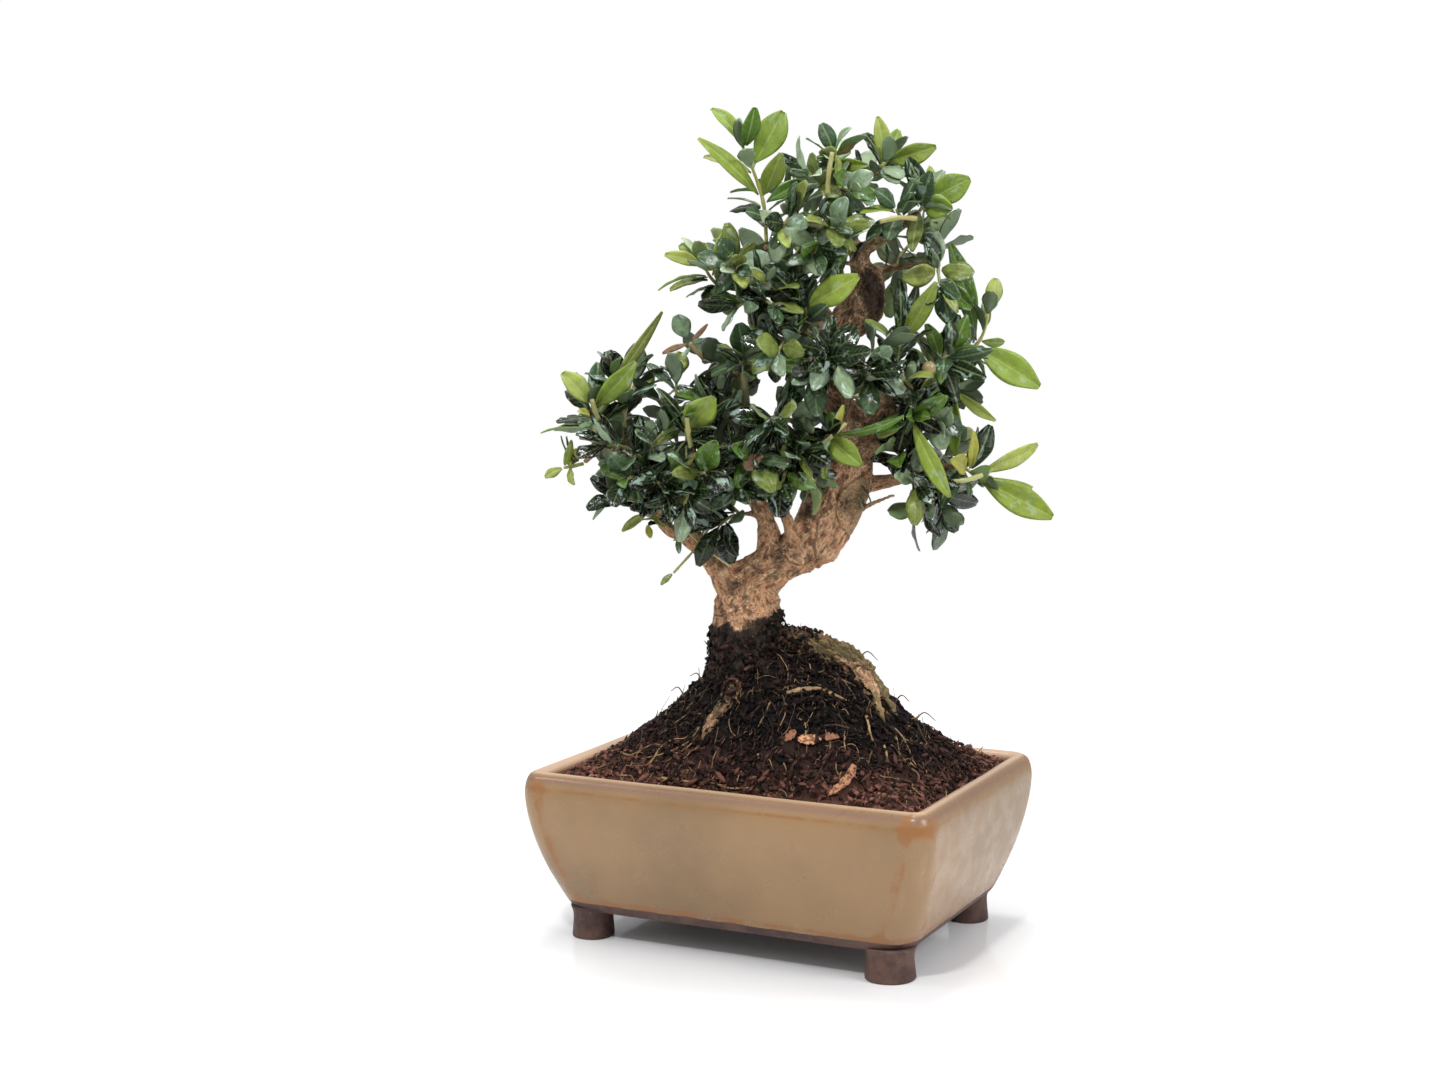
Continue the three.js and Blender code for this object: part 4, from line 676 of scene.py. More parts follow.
def store(mesh, **values):
    """Keeps values on a mesh's points, one number or three for each."""
    for name, value in values.items():
        value = np.asarray(value, float)
        wide = value.ndim > 1
        stored = mesh.attributes.new(name, "FLOAT_VECTOR" if wide else "FLOAT", "POINT")
        stored.data.foreach_set("vector" if wide else "value", value.astype(np.float32).ravel())


def read(mesh, what):
    """The places ("co") or ways out ("normal") of a mesh's points."""
    values = np.zeros(len(mesh.vertices) * 3, np.float32)
    mesh.vertices.foreach_get(what, values)
    return values.reshape(-1, 3).astype(float)


def smooth(mesh):
    mesh.polygons.foreach_set("use_smooth", [True] * len(mesh.polygons))


def apply_modifiers(piece):
    """Makes the modified mesh the piece's own."""
    bpy.context.view_layer.update()
    shaped = piece.evaluated_get(bpy.context.evaluated_depsgraph_get())
    mesh = bpy.data.meshes.new_from_object(shaped)
    piece.modifiers.clear()
    piece.data = mesh


class Heap:
    """Points, faces and point values of many small shapes, which become one piece."""

    def __init__(self):
        self.points, self.faces, self.values, self.count = [], [], {}, 0

    def add(self, points, faces, **values):
        self.points.append(points)
        self.faces += [tuple(corner + self.count for corner in face) for face in faces]
        for name, value in values.items():
            value = np.asarray(value, float)
            if value.shape in ((), (3,)):
                value = np.broadcast_to(value, (len(points), *value.shape))
            self.values.setdefault(name, []).append(value)
        self.count += len(points)

    def piece(self, name, slot, material, place):
        """The heap as one smooth piece, its points carried into the row frame by the function place."""
        mesh = bpy.data.meshes.new(name)
        mesh.from_pydata(place(np.vstack(self.points)).tolist(), [], self.faces)
        store(mesh, **{key: np.concatenate(parts) for key, parts in self.values.items()})
        smooth(mesh)
        mesh.materials.append(material)
        piece = put_in_scene(name, mesh)
        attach(piece, "root")
        return piece


def skin(rings):
    """Points and faces of a closed skin over rings of points, drawn together at both ends."""
    rows, around = rings.shape[:2]
    points = np.vstack([rings.reshape(-1, 3), rings[0].mean(0), rings[-1].mean(0)])
    faces = []
    for i in range(rows - 1):
        for k in range(around):
            a, b = i * around + k, i * around + (k + 1) % around
            faces.append((a, b, b + around, a + around))
    start, end, tail = rows * around, rows * around + 1, (rows - 1) * around
    for k in range(around):
        faces.append((start, (k + 1) % around, k))
        faces.append((end, tail + k, tail + (k + 1) % around))
    return points, faces


def tube_rings(line, sides, spacing, swell=None):
    """Rings of a round tube along a line."""
    rows = max(3, int(line.length() / spacing) + 1)
    t = np.linspace(0, 1, rows)
    middle, across, side = line.frames(t)
    radius = line.radius(t)
    if swell is not None:
        radius = radius * swell(t)
    angle = np.linspace(0, 2 * math.pi, sides, endpoint=False)
    spokes = across[:, None] * np.cos(angle)[None, :, None] + side[:, None] * np.sin(angle)[None, :, None]
    return middle[:, None] + spokes * radius[:, None, None]


# Colours and shader nodes


def linear(code):
    """Linear colour of an sRGB hex value."""
    channels = [int(code[i : i + 2], 16) / 255 for i in (1, 3, 5)]
    return [c / 12.92 if c <= 0.04045 else ((c + 0.055) / 1.055) ** 2.4 for c in channels] + [1.0]


# Settings that every node of its kind has here, and the outputs of a node taken all at once
USUAL = {"Mix": {"data_type": "RGBA"}, "MapRange": {"interpolation_type": "SMOOTHSTEP"}}
ALL = slice(None)


def adder(tree):
    """The function that adds a node to this tree with its settings and links, and returns what comes out."""

    def add(kind, inputs=(), out=0, **settings):
        made = tree.nodes.new("ShaderNode" + kind)
        for name, value in {**USUAL.get(kind, {}), **settings}.items():
            setattr(made, name, value)
        for key, value in inputs.items() if isinstance(inputs, dict) else enumerate(inputs):
            if isinstance(value, bpy.types.NodeSocket):
                tree.links.new(value, made.inputs[key])
            else:
                made.inputs[key].default_value = linear(value) if isinstance(value, str) else value
        return made.outputs[out] if made.outputs else None

    return add


def emptied(owner):
    """The adding function for a material or a world whose nodes start from none."""
    owner.use_nodes = True
    owner.node_tree.nodes.clear()
    return adder(owner.node_tree)


def new_material(name):
    material = bpy.data.materials.new(name)
    return material, emptied(material)


def finish_surface(add, height, strength, depth, coat):
    """Ends a material: relief as deep as depth in metres, under its coat."""
    bump = add("Bump", {"Strength": strength, "Distance": depth, "Height": height})
    add("OutputMaterial", {"Surface": add("BsdfPrincipled", {**coat, "Normal": bump})})


# Wood, stems and leaves in the viewer's frame

TO_VIEWER = unit(np.array([0, -1, 0.25]))


def mound_height(x, y):
    """Height of the mound of peat over a point of the pot's frame."""
    distance = np.hypot((x - MOUND_X) / MOUND_REACH_X, (y - MOUND_Y) / MOUND_REACH_Y)
    half_x, half_y, _ = wall_at(SOIL_EDGE)
    edge = np.minimum(1, np.maximum(abs(x) / (half_x - RIM_WIDTH), abs(y) / (half_y - RIM_WIDTH)))
    rise = MOUND_RISE / (1 + distance**MOUND_STEEP) * (1 - edge**6)
    crumbs = 0.9 * np.sin(x / 4.1 + 1.3 * np.sin(y / 6)) * np.cos(y / 3.7)
    return SOIL_EDGE + rise + crumbs * (1 - edge**8)


def wall_at(z):
    """Half sizes and corner radius of the pot's outside at a height."""
    drop = np.clip((WIDEST_AT - z) / (WIDEST_AT - FOOT_HEIGHT), 0, 1)
    curve = drop**WALL_CURVE
    corner = CORNER_AT_RIM + (CORNER_AT_BOTTOM - CORNER_AT_RIM) * drop
    return POT_LENGTH / 2 - BOTTOM_INSET_X * curve, POT_DEPTH / 2 - BOTTOM_INSET_Y * curve, corner


def root_line(root):
    """Root that lies on the mound, sunk by shares of its radius."""
    run = np.array(root["run"], float)
    flat = turned(np.column_stack([run[:, :2], np.zeros(len(run))]), POT_TURN)
    flat[:, 2] = mound_height(flat[:, 0], flat[:, 1]) - run[:, 3] * run[:, 2]
    return Line(turned(flat, -POT_TURN), run[:, 2])


def stem_start(twig, following):
    """Start of a leafy stem just past the flat end of its bare twig."""
    end, along = twig.place(1.0), twig.direction(1.0)
    lean = math.acos(np.clip(np.dot(along, unit(following - end)), -1, 1))
    return end + along * (GAP + STEM_RADIUS * math.sin(lean))


def stem_line(points):
    return Line(points, STEM_RADIUS * (1 - 0.3 * np.linspace(0, 1, len(points))))


class Leaf:
    """One blade: its base, the chord to its tip, the side that faces up and its width."""

    def __init__(self, base, tip, facing, width):
        self.base, self.chord, self.width = base, tip - base, width
        self.length = np.linalg.norm(self.chord)
        along = self.chord / self.length
        self.up = unit(facing - along * np.dot(facing, along))
        self.side = np.cross(along, self.up)
        self.middle = base + self.chord / 2
        self.reach = self.length / 2 + 1

    def half_width(self, along):
        blade = np.clip((along - 0.08) / 0.92, 0, 1)
        return 0.35 * (1 - along) + self.width / 2 * np.sin(np.pi * blade**1.12) ** 0.72

    def place(self, along, across, lift=0.0):
        arch = LEAF_BULGE * self.length * 4 * along * (1 - along)
        half = self.half_width(along)
        raised = arch + LEAF_FOLD * half * abs(across) + lift
        return (
            self.base
            + self.chord * np.asarray(along)[..., None]
            + self.up * np.asarray(raised)[..., None]
            + self.side * np.asarray(half * across)[..., None]
        )

    def samples(self):
        """Points that the blade is tested by, and their places along it."""
        rows = math.ceil(self.length / SAMPLE_STEP)
        columns = 5 if self.width > 4.5 else 3
        along, across = np.meshgrid(np.arange(1, rows + 1) / rows, np.linspace(-1, 1, columns), indexing="ij")
        return along.ravel(), self.place(along.ravel(), across.ravel())


class Canopy:
    """The wood as short rods and the blades placed so far, which a new blade has to be clear of."""

    def __init__(self):
        self.starts, self.ends, self.radii, self.owners = [], [], [], []
        self.placed = []

    def add_line(self, line, owner):
        t = np.linspace(0, 1, line.spans * 2 + 1)
        points = line.place(t)
        self.starts += list(points[:-1])
        self.ends += list(points[1:])
        self.radii += list(line.radius((t[:-1] + t[1:]) / 2))
        self.owners += [owner] * (len(t) - 1)

    def settle(self):
        self.starts, self.ends, self.radii = map(np.array, (self.starts, self.ends, self.radii))
        self.owners = np.array(self.owners)

    def rod_distances(self, points, chosen=slice(None)):
        starts, runs = self.starts[chosen], self.ends[chosen] - self.starts[chosen]
        offset = points[:, None] - starts[None]
        t = np.clip((offset * runs).sum(-1) / (runs * runs).sum(-1), 0, 1)
        return np.linalg.norm(offset - runs * t[..., None], axis=-1) - self.radii[chosen]

    def is_clear(self, leaf, owner, clear_other=CLEAR_OTHER, clear_own=CLEAR_OWN, clear_wood=CLEAR_WOOD):
        along, points = leaf.samples()
        near = self.rod_distances(leaf.middle[None])[0] <= leaf.reach + clear_wood
        if near.any():
            distances = self.rod_distances(points, near)
            start = np.where(self.owners[near] == owner, 0.45, 0.2)
            if ((along[:, None] > start) & (distances < clear_wood)).any():
                return False
        for other, other_owner, their_along, their_points in self.placed:
            apart = np.linalg.norm(other.middle - leaf.middle)
            if apart > leaf.reach + other.reach + max(clear_other, CLEAR_OTHER):
                continue
            mine, theirs = points, their_points
            if other_owner == owner:
                mine, theirs = points[along >= 0.35], their_points[their_along >= 0.35]
            least = clear_own if other_owner == owner else clear_other
            if (np.linalg.norm(mine[:, None] - theirs[None], axis=-1) < least).any():
                return False
        self.placed.append((leaf, owner, along, points))
        return True


def shoot_leaves(canopy, name, line, leaves):
    """Leaves of a bright shoot, turned a little further each time one isn't clear."""
    made = []
    for place, tip_seen, width, roll, tone in leaves:
        base, tip = line.place(place), seen(tip_seen)
        chord = unit(tip - base)
        for turn, size, push in SHOOT_TRIES:
            facing = swung(TO_VIEWER, chord, math.radians(roll + turn))
            end = base + (tip - base) * size + np.array([0, push, 0])
            leaf = Leaf(base, end, facing, width)
            if canopy.is_clear(leaf, name):
                leaf.tone = tone
                made.append(leaf)
                break
    return made


def pair_leaf(line, t, pair_turn, half, opening, size, random, slim=1.0):
    """Ways to set one leaf of a pair on an ordinary stem, from a swing, a closing and a size."""
    along = line.direction(t)
    level = unit(np.cross(along, np.array([0, 0, 1.0])))
    jitter = (next(random) - 0.5) * 0.7
    length = LEAF_LENGTH * (0.82 + 0.36 * next(random)) * size
    width = LEAF_WIDTH * (0.85 + 0.3 * next(random)) * size
    tilt = (next(random) - 0.5) * 0.7
    base = line.place(t)
    for swing, close, smaller in SPRAY_TRIES:
        out = swung(level, along, pair_turn + half * math.pi + jitter + swing)
        open_by = opening - close
        chord = along * math.cos(open_by) + out * math.sin(open_by)
        chord = unit(chord + np.array([0, 0, 0.1]))
        facing = swung(along + np.array([0, 0, 0.6]), chord, tilt)
        yield Leaf(base, base + chord * length * smaller, facing, width * smaller * slim)


def tone_for(leaf, tones, random):
    height = leaf.base[2]
    # Painted light and shade by height: pale grey tones high up, nearly black ones low down
    tones = LIT_TONES if height > PAINTED_LIGHT_ABOVE else SHADED_TONES if height < PAINTED_SHADE_BELOW else tones
    return tones[int(next(random) * len(tones))]


def spray_leaves(canopy, name, line, seed):
    """Leaves of an ordinary stem, in pairs that cross each other, wider open near its foot."""
    made = []
    for pair, place in enumerate(PAIR_PLACES):
        for half in (0, 1):
            random = random_from(seed * 977 + pair * 31 + half * 7)
            opening = 0.6 if pair == len(PAIR_PLACES) - 1 else 1.1
            spot, turn = place - half * PAIR_STAGGER, pair * math.pi / 2
            for leaf in pair_leaf(line, spot, turn, half, opening, 1, random):
                if canopy.is_clear(leaf, name):
                    leaf.tone = tone_for(leaf, MATURE_TONES, random)
                    made.append(leaf)
                    break
    return made


def in_open_air(leaf):
    """Whether an added leaf would stand before one of the places where the viewer sees through."""
    eye = np.array([EYE_RIGHT, EYE_UP])
    for share in (0.5, 1.0):
        spot = leaf.base + leaf.chord * share
        flat = eye + (spot[[0, 2]] - eye) / (1 + spot[1] / EYE_DISTANCE)
        if any(np.hypot(*(flat - place[:2])) < place[2] for place in OPEN_AIR):
            return True
    return False


def extra_leaves(canopy, name, line, seed):
    """Smaller leaves between the pairs, where there is still room for them."""
    made = []
    for pair, (place, size, opening) in enumerate(EXTRA_PAIRS):
        for half in (0, 1):
            random = random_from(seed * 613 + pair * 17 + half * 5 + 90001)
            turn = (pair + 0.5) * math.pi / 2 + next(random)
            for leaf in pair_leaf(line, place - half * 0.05, turn, half, opening, size, random, EXTRA_SLIM):
                if not in_open_air(leaf) and canopy.is_clear(leaf, name, *EXTRA_CLEAR):
                    leaf.tone = tone_for(leaf, EXTRA_TONES, random)
                    made.append(leaf)
                    break
    return made


def inner_leaves(canopy, line, owner, seed):
    """Older small leaves that stand along a thin limb or a bare twig, in the shade of the outer ones."""
    made = []
    count = int(line.length() / INNER_SPACING)
    for i in range(count):
        random = random_from(seed * 331 + i * 13 + 40009)
        place = (i + 0.3 + 0.6 * next(random)) / count
        if line.radius(place) > INNER_THICKEST:
            continue
        size = 0.5 + 0.35 * next(random)
        for leaf in pair_leaf(line, place, 6.3 * next(random), i % 2, 1.15, size, random, EXTRA_SLIM):
            if not in_open_air(leaf) and canopy.is_clear(leaf, owner, *EXTRA_CLEAR):
                leaf.tone = INNER_TONES[int(next(random) * len(INNER_TONES))]
                made.append(leaf)
                break
    return made


def grow():
    """Lines of the wood and all sprays with their stems and leaves."""
    limbs = {name: Line(seen(points), np.array(points)[:, 3]) for name, points in LIMBS.items()}
    roots = {name: root_line(root) for name, root in ROOTS.items()}
    twigs, sprays = [], []
    for name, shoot in SHOOTS.items():
        points = seen(shoot["stem"])
        twig = Line([seen(shoot["from"]), points[0]], [TWIG_RADIUS * 1.3, TWIG_RADIUS])
        twigs.append(twig)
        stem = stem_line(np.vstack([stem_start(twig, points[1]), points[1:]]))
        sprays.append({"name": name, "stems": [(stem, shoot["leaves"])]})
    for name, spray in SPRAYS.items():
        root, ends = seen(spray["from"]), seen(spray["tips"])
        middle = ends.mean(0)
        bare = max(BARE_SHARE, SHORTEST_TWIG / np.linalg.norm(middle - root))
        twig = Line([root, root + (middle - root) * bare], [TWIG_RADIUS * 1.3, TWIG_RADIUS])
        twigs.append(twig)

        def bent(start, end):
            return (start + end) / 2 + np.array([0, 0, STEM_BOW * np.linalg.norm(end - start)])

        bend = bent(twig.place(1.0), ends[0])
        stems = [stem_line(np.vstack([stem_start(twig, bend), bend, ends[0]]))]
        fork = stems[0].place(FORK_PLACE)
        stems += [stem_line(np.vstack([fork, bent(fork, end), end])) for end in ends[1:]]
        sprays.append({"name": name, "stems": [(stem, None) for stem in stems]})

    canopy = Canopy()
    for line in [*limbs.values(), *roots.values(), *twigs]:
        canopy.add_line(line, "wood")
    for spray in sprays:
        for stem, _ in spray["stems"]:
            canopy.add_line(stem, spray["name"])
    canopy.settle()
    for spray in sprays:
        spray["leaves"] = []
        for stem, listed in spray["stems"]:
            if listed:
                spray["leaves"] += shoot_leaves(canopy, spray["name"], stem, listed)
    for number, spray in enumerate(sprays):
        for index, (stem, listed) in enumerate(spray["stems"]):
            if not listed:
                spray["leaves"] += spray_leaves(canopy, spray["name"], stem, number * 5 + index)
    for number, spray in enumerate(sprays):
        for index, (stem, _) in enumerate(spray["stems"]):
            spray["leaves"] += extra_leaves(canopy, spray["name"], stem, number * 5 + index)
    inner = []
    for number, line in enumerate([*limbs.values(), *twigs]):
        inner += inner_leaves(canopy, line, "wood", number)
    return limbs, roots, twigs, sprays, inner


# Leaf shapes: half a blade's thickness, and the length from which a leaf is skinned more finely

BLADE_HALF_THICK, LARGE_LEAF = 0.2, 19


def blade(leaf, random):
    """Fine skin of one leaf: a short stalk, a sunk midrib, a wavy edge and a bent, twisted tip."""
    rows, top = (18, 9) if leaf.length > LARGE_LEAF else (12, 7)
    t = np.linspace(0, 1, rows + 1)[1:-1] ** 0.92
    over = np.linspace(-1, 1, top)
    across = np.concatenate([over, over[-2:0:-1]])
    under = np.concatenate([np.zeros(top), np.ones(top - 2)])
    a, c = np.meshgrid(t, across, indexing="ij")
    below = np.broadcast_to(under, a.shape)
    half = leaf.half_width(a)
    phase, waves = next(random) * 6.3, 1.5 + 2 * next(random)
    twist, bend, fold, curl = (next(random) for _ in range(4))
    young = leaf.tone in YOUNG_TONES
    fold = 0.32 * fold if young else 0.3 * fold - 0.24
    sharp = 0.36 if young else 0.28
    c = c * (1 - sharp * np.clip((a - 0.5) / 0.5, 0, 1) ** 2 - 0.2 * np.clip((0.4 - a) / 0.4, 0, 1) ** 2)
    wave = 0.08 * half * np.sin(2 * np.pi * waves * a + phase + (c > 0) * 1.9) * abs(c) ** 1.5
    droop = -0.2 * half * (curl - 0.2) * abs(c) ** 3
    thick = (BLADE_HALF_THICK + 0.25 * np.exp(-a / 0.07)) * np.sqrt(np.clip(1 - c * c, 0.02, 1))
    rib = np.exp(-((c * half / 0.55) ** 2))
    lift = wave + droop + fold * half * abs(c) + half * c * np.sin((twist - 0.5) * 1.1 * a)
    lift = lift - (bend - 0.3) * 0.17 * leaf.length * a**2.4
    lift = lift + np.where(below > 0, -thick - 0.22 * rib, thick - 0.16 * rib)
    rings = leaf.place(a, c, lift)
    points, faces = skin(rings)
    ends = [(0.0, 0.0, 0.0), (1.0, 0.0, 0.0)]
    values = np.vstack([np.column_stack([a.ravel(), c.ravel(), below.ravel()]), ends])
    return points, faces, values


def add_leaf(heap, leaf, seed):
    random = random_from(seed)
    points, faces, values = blade(leaf, random)
    tint = np.array(linear(TINTS[leaf.tone])[:3])
    tint = tint * (0.86 + 0.28 * next(random))
    tint = tint * np.array([0.94 + 0.12 * next(random), 1, 0.9 + 0.2 * next(random)])
    size = np.array([leaf.length, leaf.width, next(random) * 100])
    heap.add(points, faces, blade=values, tint=tint, leaf_size=size, shine=SHINE[leaf.tone])


def add_stem(heap, line, tone, seed):
    random = random_from(seed)
    places = [0.36, 0.5, 0.79, 0.93]

    def swell(t):
        knots = sum(np.exp(-(((t - place) / 0.035) ** 2)) for place in places)
        return 1 + 0.28 * knots

    points, faces = skin(tube_rings(line, 7, 1.2, swell))
    tint = np.array(linear(TINTS[tone])[:3]) * (0.85 + 0.3 * next(random))
    size = [line.length(), 1.5, next(random) * 100]
    heap.add(points, faces, tint=tint, leaf_size=size, blade=[0.5, 3.0, 0.0], shine=0.2)


# The materials of this plant and its pot. Leaves and bark have patterns in millimetres of their own blade or
# limb; peat, chips and glaze have them in metres, so a scale of 1000 there is one crumb or speck a millimetre


def leaf_material(name, roughness, rib_strength, glow, gloss, blotch):
    """Olive leaf: waxy above with beads of water and painted streaks of sheen, matt and paler below, with
    faint veins.
    """
    material, add = new_material(name)
    blade_at = add("Attribute", out="Vector", attribute_name="blade")
    size_at = add("Attribute", out="Vector", attribute_name="leaf_size")
    tint = add("Attribute", out="Vector", attribute_name="tint")
    shine = add("Attribute", out="Fac", attribute_name="shine")
    along, across, below = add("SeparateXYZ", (blade_at,), out=ALL)
    length, width, chance = add("SeparateXYZ", (size_at,), out=ALL)
    away = add("Math", (across,), operation="ABSOLUTE")
    half = add("Math", (width, 0.5), operation="MULTIPLY")
    away_mm = add("Math", (away, half), operation="MULTIPLY")
    across_mm = add("Math", (across, half), operation="MULTIPLY")
    along_mm = add("Math", (along, length), operation="MULTIPLY")
    # The midrib is about 0.5 mm wide, and side veins leave it every 2.2 mm at a slant
    midrib = add("MapRange", (away_mm, 0.18, 0.5, rib_strength, 0.0))
    slant = add("Math", (away_mm, -0.75, along_mm), operation="MULTIPLY_ADD")
    spacing = add("Math", (slant, 2 * math.pi / 2.2), operation="MULTIPLY")
    wave = add("Math", (spacing,), operation="COSINE")
    veins = add("MapRange", (wave, 0.86, 1.0, 0.0, 1.0))
    vein_part = add("Math", (veins, 0.1), operation="MULTIPLY")

    # Blotches about 3 mm across, paler veins and a thin pale edge lie over the leaf's own tint
    flat = add("CombineXYZ", (along_mm, across_mm, chance))
    mottle = add("TexNoise", {"Vector": flat, "Scale": 0.3, "Detail": 3.0})
    shade = add("MapRange", (mottle, 0.3, 0.7, 1 - blotch, 1 + blotch))
    toned = add("VectorMath", {0: tint, 3: shade}, operation="SCALE")
    edge = add("MapRange", (away, 0.86, 1.0, 0.0, 0.35))
    colour = toned
    for share, laid in ((vein_part, "#A9BE7A"), (midrib, "#B4C27C"), (edge, "#869C55")):
        colour = add("Mix", {0: share, 6: colour, 7: laid}, out=2)
    # Painted sheen: pale blue-grey streaks along the veins of about half of the shiny leaves stand for the
    # sky reflected in their film of water
    drawn_out = add("VectorMath", (flat, (0.45, 1.0, 1.0)), operation="MULTIPLY")
    painted_sheen = add("TexNoise", {"Vector": drawn_out, "Scale": 0.42, "Detail": 2.5, "Distortion": 0.8})
    painted_sheen = add("MapRange", (painted_sheen, 0.54, 0.62, 0.0, 0.7))
    patch = add("TexNoise", {"Vector": flat, "Scale": 0.13, "Detail": 2.0})
    sheen_patches = add("MapRange", (patch, 0.47, 0.58, 0.0, 1.0))
    painted_sheen = add("Math", (painted_sheen, sheen_patches), operation="MULTIPLY")
    painted_sheen = add("Math", (painted_sheen, shine), operation="MULTIPLY", use_clamp=True)
    colour = add("Mix", {0: painted_sheen, 6: colour, 7: "#A3BBAC"}, out=2)
    pale = add("Mix", {0: 0.45, 6: toned, 7: "#94A682"}, out=2)
    colour = add("Mix", {0: below, 6: colour, 7: pale}, out=2)

    # Beads of water 1 to 2 mm wide stand where the leaf is wet
    beads = add("TexVoronoi", {"Vector": flat, "Scale": 0.42, "Randomness": 1.0})
    bead = add("MapRange", (beads, 0.2, 0.36, 1.0, 0.0))
    wet = add("MapRange", (mottle, 0.5, 0.6, 0.0, 1.0))
    bead = add("Math", (bead, wet), operation="MULTIPLY")
    bead = add("Math", (bead, shine), operation="MULTIPLY")
    relief = add("TexNoise", {"Vector": flat, "Scale": 0.8, "Detail": 2.0})
    sunk = add("Math", (veins, -0.35, relief), operation="MULTIPLY_ADD")
    height = add("Math", (bead, 1.6, sunk), operation="MULTIPLY_ADD")
    dull = add("MapRange", (shine, 0.0, 1.0, roughness + 0.2, roughness))
    coat = {
        "Base Color": colour,
        "Roughness": add("Mix", {0: below, 2: dull, 3: 0.62}, data_type="FLOAT"),
        "IOR": 1.45,
        "Specular IOR Level": gloss,
        "Subsurface Weight": glow,
        "Subsurface Radius": (0.7, 1.0, 0.25),
        "Subsurface Scale": 0.0009,
    }
    finish_surface(add, height, 0.5, 0.0003, coat)
    return material


def bark_material():
    """Olive bark: a net of tan ridges round red-brown pits, greyer higher up, black and wet at the foot."""
    material, add = new_material("olive_bark")
    grain = add("Attribute", out="Vector", attribute_name="grain")
    state = add("Attribute", out="Vector", attribute_name="bark_state")
    thick, moss, damp = add("SeparateXYZ", (state,), out=ALL)
    relief = add("Attribute", out="Fac", attribute_name="relief")
    scar = add("Attribute", out="Fac", attribute_name="scar")
    # The grain is in millimetres, shortened along the limb so that every pit and ridge is drawn out; pits lie
    # about 1.6 mm apart
    drift = add("TexNoise", {"Vector": grain, "Scale": 0.7, "Detail": 3.0}, out="Color")
    bent = add("VectorMath", (drift, (1.6, 1.6, 1.6), grain), operation="MULTIPLY_ADD")
    broad = add("TexNoise", {"Vector": grain, "Scale": 0.11, "Detail": 4.0, "Roughness": 0.6})
    fibres = add("TexNoise", {"Vector": bent, "Scale": 1.1, "Detail": 5.0, "Roughness": 0.65})
    cells = add("TexVoronoi", {"Vector": bent, "Scale": 0.62}, feature="DISTANCE_TO_EDGE")
    middles = add("TexVoronoi", {"Vector": bent, "Scale": 0.62})

    warm = add("MapRange", (broad, 0.38, 0.62, 0.0, 1.0))
    # From 0.165 to 0.21 m of height the bark turns greyer and darker than on the bends below it
    height_m = add("SeparateXYZ", (add("TexCoord", out="Object"),), out="Z")
    greyer_up_high = add("MapRange", (height_m, 0.165, 0.21, 0.0, 0.7))
    ridge = add("MapRange", (cells, 0.0, 0.22, 1.0, 0.0))
    ridge = add("Math", (ridge, fibres), operation="MULTIPLY")
    ridge = add("MapRange", (ridge, 0.1, 0.42, 0.0, 0.85))
    light = add("MapRange", (fibres, 0.54, 0.7, 0.0, 0.6))
    dark = add("MapRange", (fibres, 0.3, 0.43, 0.5, 0.0))
    pit = add("MapRange", (middles, 0.1, 0.42, 0.75, 0.0))
    # Painted shade in the furrows: the bark darkens where its relief is sunk, partly its own darker colour
    # there
    hollow = add("MapRange", (relief, -0.5, 0.0, 0.7, 0.0))
    young = add("MapRange", (thick, 1.2, 3.2, 0.6, 0.0))
    lichen = add("TexNoise", {"Vector": grain, "Scale": 0.2, "Detail": 5.0, "W": 3.0}, noise_dimensions="4D")
    grown = add("Math", (moss, lichen), operation="ADD")
    grown = add("MapRange", (grown, 0.6, 0.74, 0.0, 0.75))
    scarred = add("Math", (fibres, 1.6, scar), operation="MULTIPLY_ADD")
    scarred = add("MapRange", (scarred, 1.05, 1.4, 0.0, 0.9))
    soaked = add("Math", (fibres, 0.6, damp), operation="MULTIPLY_ADD")
    soaked = add("MapRange", (soaked, 0.6, 0.85, 0.0, 0.95))
    colour = "#B88868"
    for share, laid in (
        (warm, "#DA9C6E"), (greyer_up_high, "#7C6855"), (ridge, "#DFBA92"), (light, "#D2A981"), (dark, "#5B3627"),
        (pit, "#96543A"), (hollow, "#4C3024"), (young, "#97805A"), (grown, "#827A4A"), (scarred, "#2E1F19"),
        (soaked, "#130C09"),
    ):
        colour = add("Mix", {0: share, 6: colour, 7: laid}, out=2)

    height = add("Math", (ridge, 0.8, fibres), operation="MULTIPLY_ADD")
    height = add("Math", (middles, 0.9, height), operation="MULTIPLY_ADD")
    rough = add("MapRange", (fibres, 0.3, 0.7, 0.95, 0.75))
    finish_surface(add, height, 1.0, 0.001, {"Base Color": colour, "Roughness": rough, "IOR": 1.45})
    return material


def peat_material():
    """Damp peat and coconut fibre: nearly black crumbs, partly painted shadow of the gaps between them,
    redder and lighter where they have dried.
    """
    material, add = new_material("damp_peat")
    places = add("TexCoord", out="Object")
    fleck = add("Attribute", out="Fac", attribute_name="fleck")
    clods = add("TexNoise", {"Vector": places, "Scale": 160.0, "Detail": 5.0, "Roughness": 0.7})
    crumbs = add("TexVoronoi", {"Vector": places, "Scale": 700.0})
    fine = add("TexNoise", {"Vector": places, "Scale": 1400.0, "Detail": 3.0})
    drier = add("MapRange", (clods, 0.35, 0.65, 0.0, 1.0))
    # Nearly black ground: partly the damp peat's own colour and partly painted shadow for the gaps between
    # crumbs
    colour = add("Mix", {0: drier, 6: "#050303", 7: "#120A08"}, out=2)
    colour = add("Mix", {0: fleck, 6: colour, 7: "#8A5B4D"}, out=2)
    height = add("Math", (crumbs, 0.7, fine), operation="MULTIPLY_ADD")
    coat = {"Base Color": colour, "Roughness": 0.65, "IOR": 1.4, "Specular IOR Level": 0.25}
    finish_surface(add, height, 0.9, 0.0005, coat)
    return material


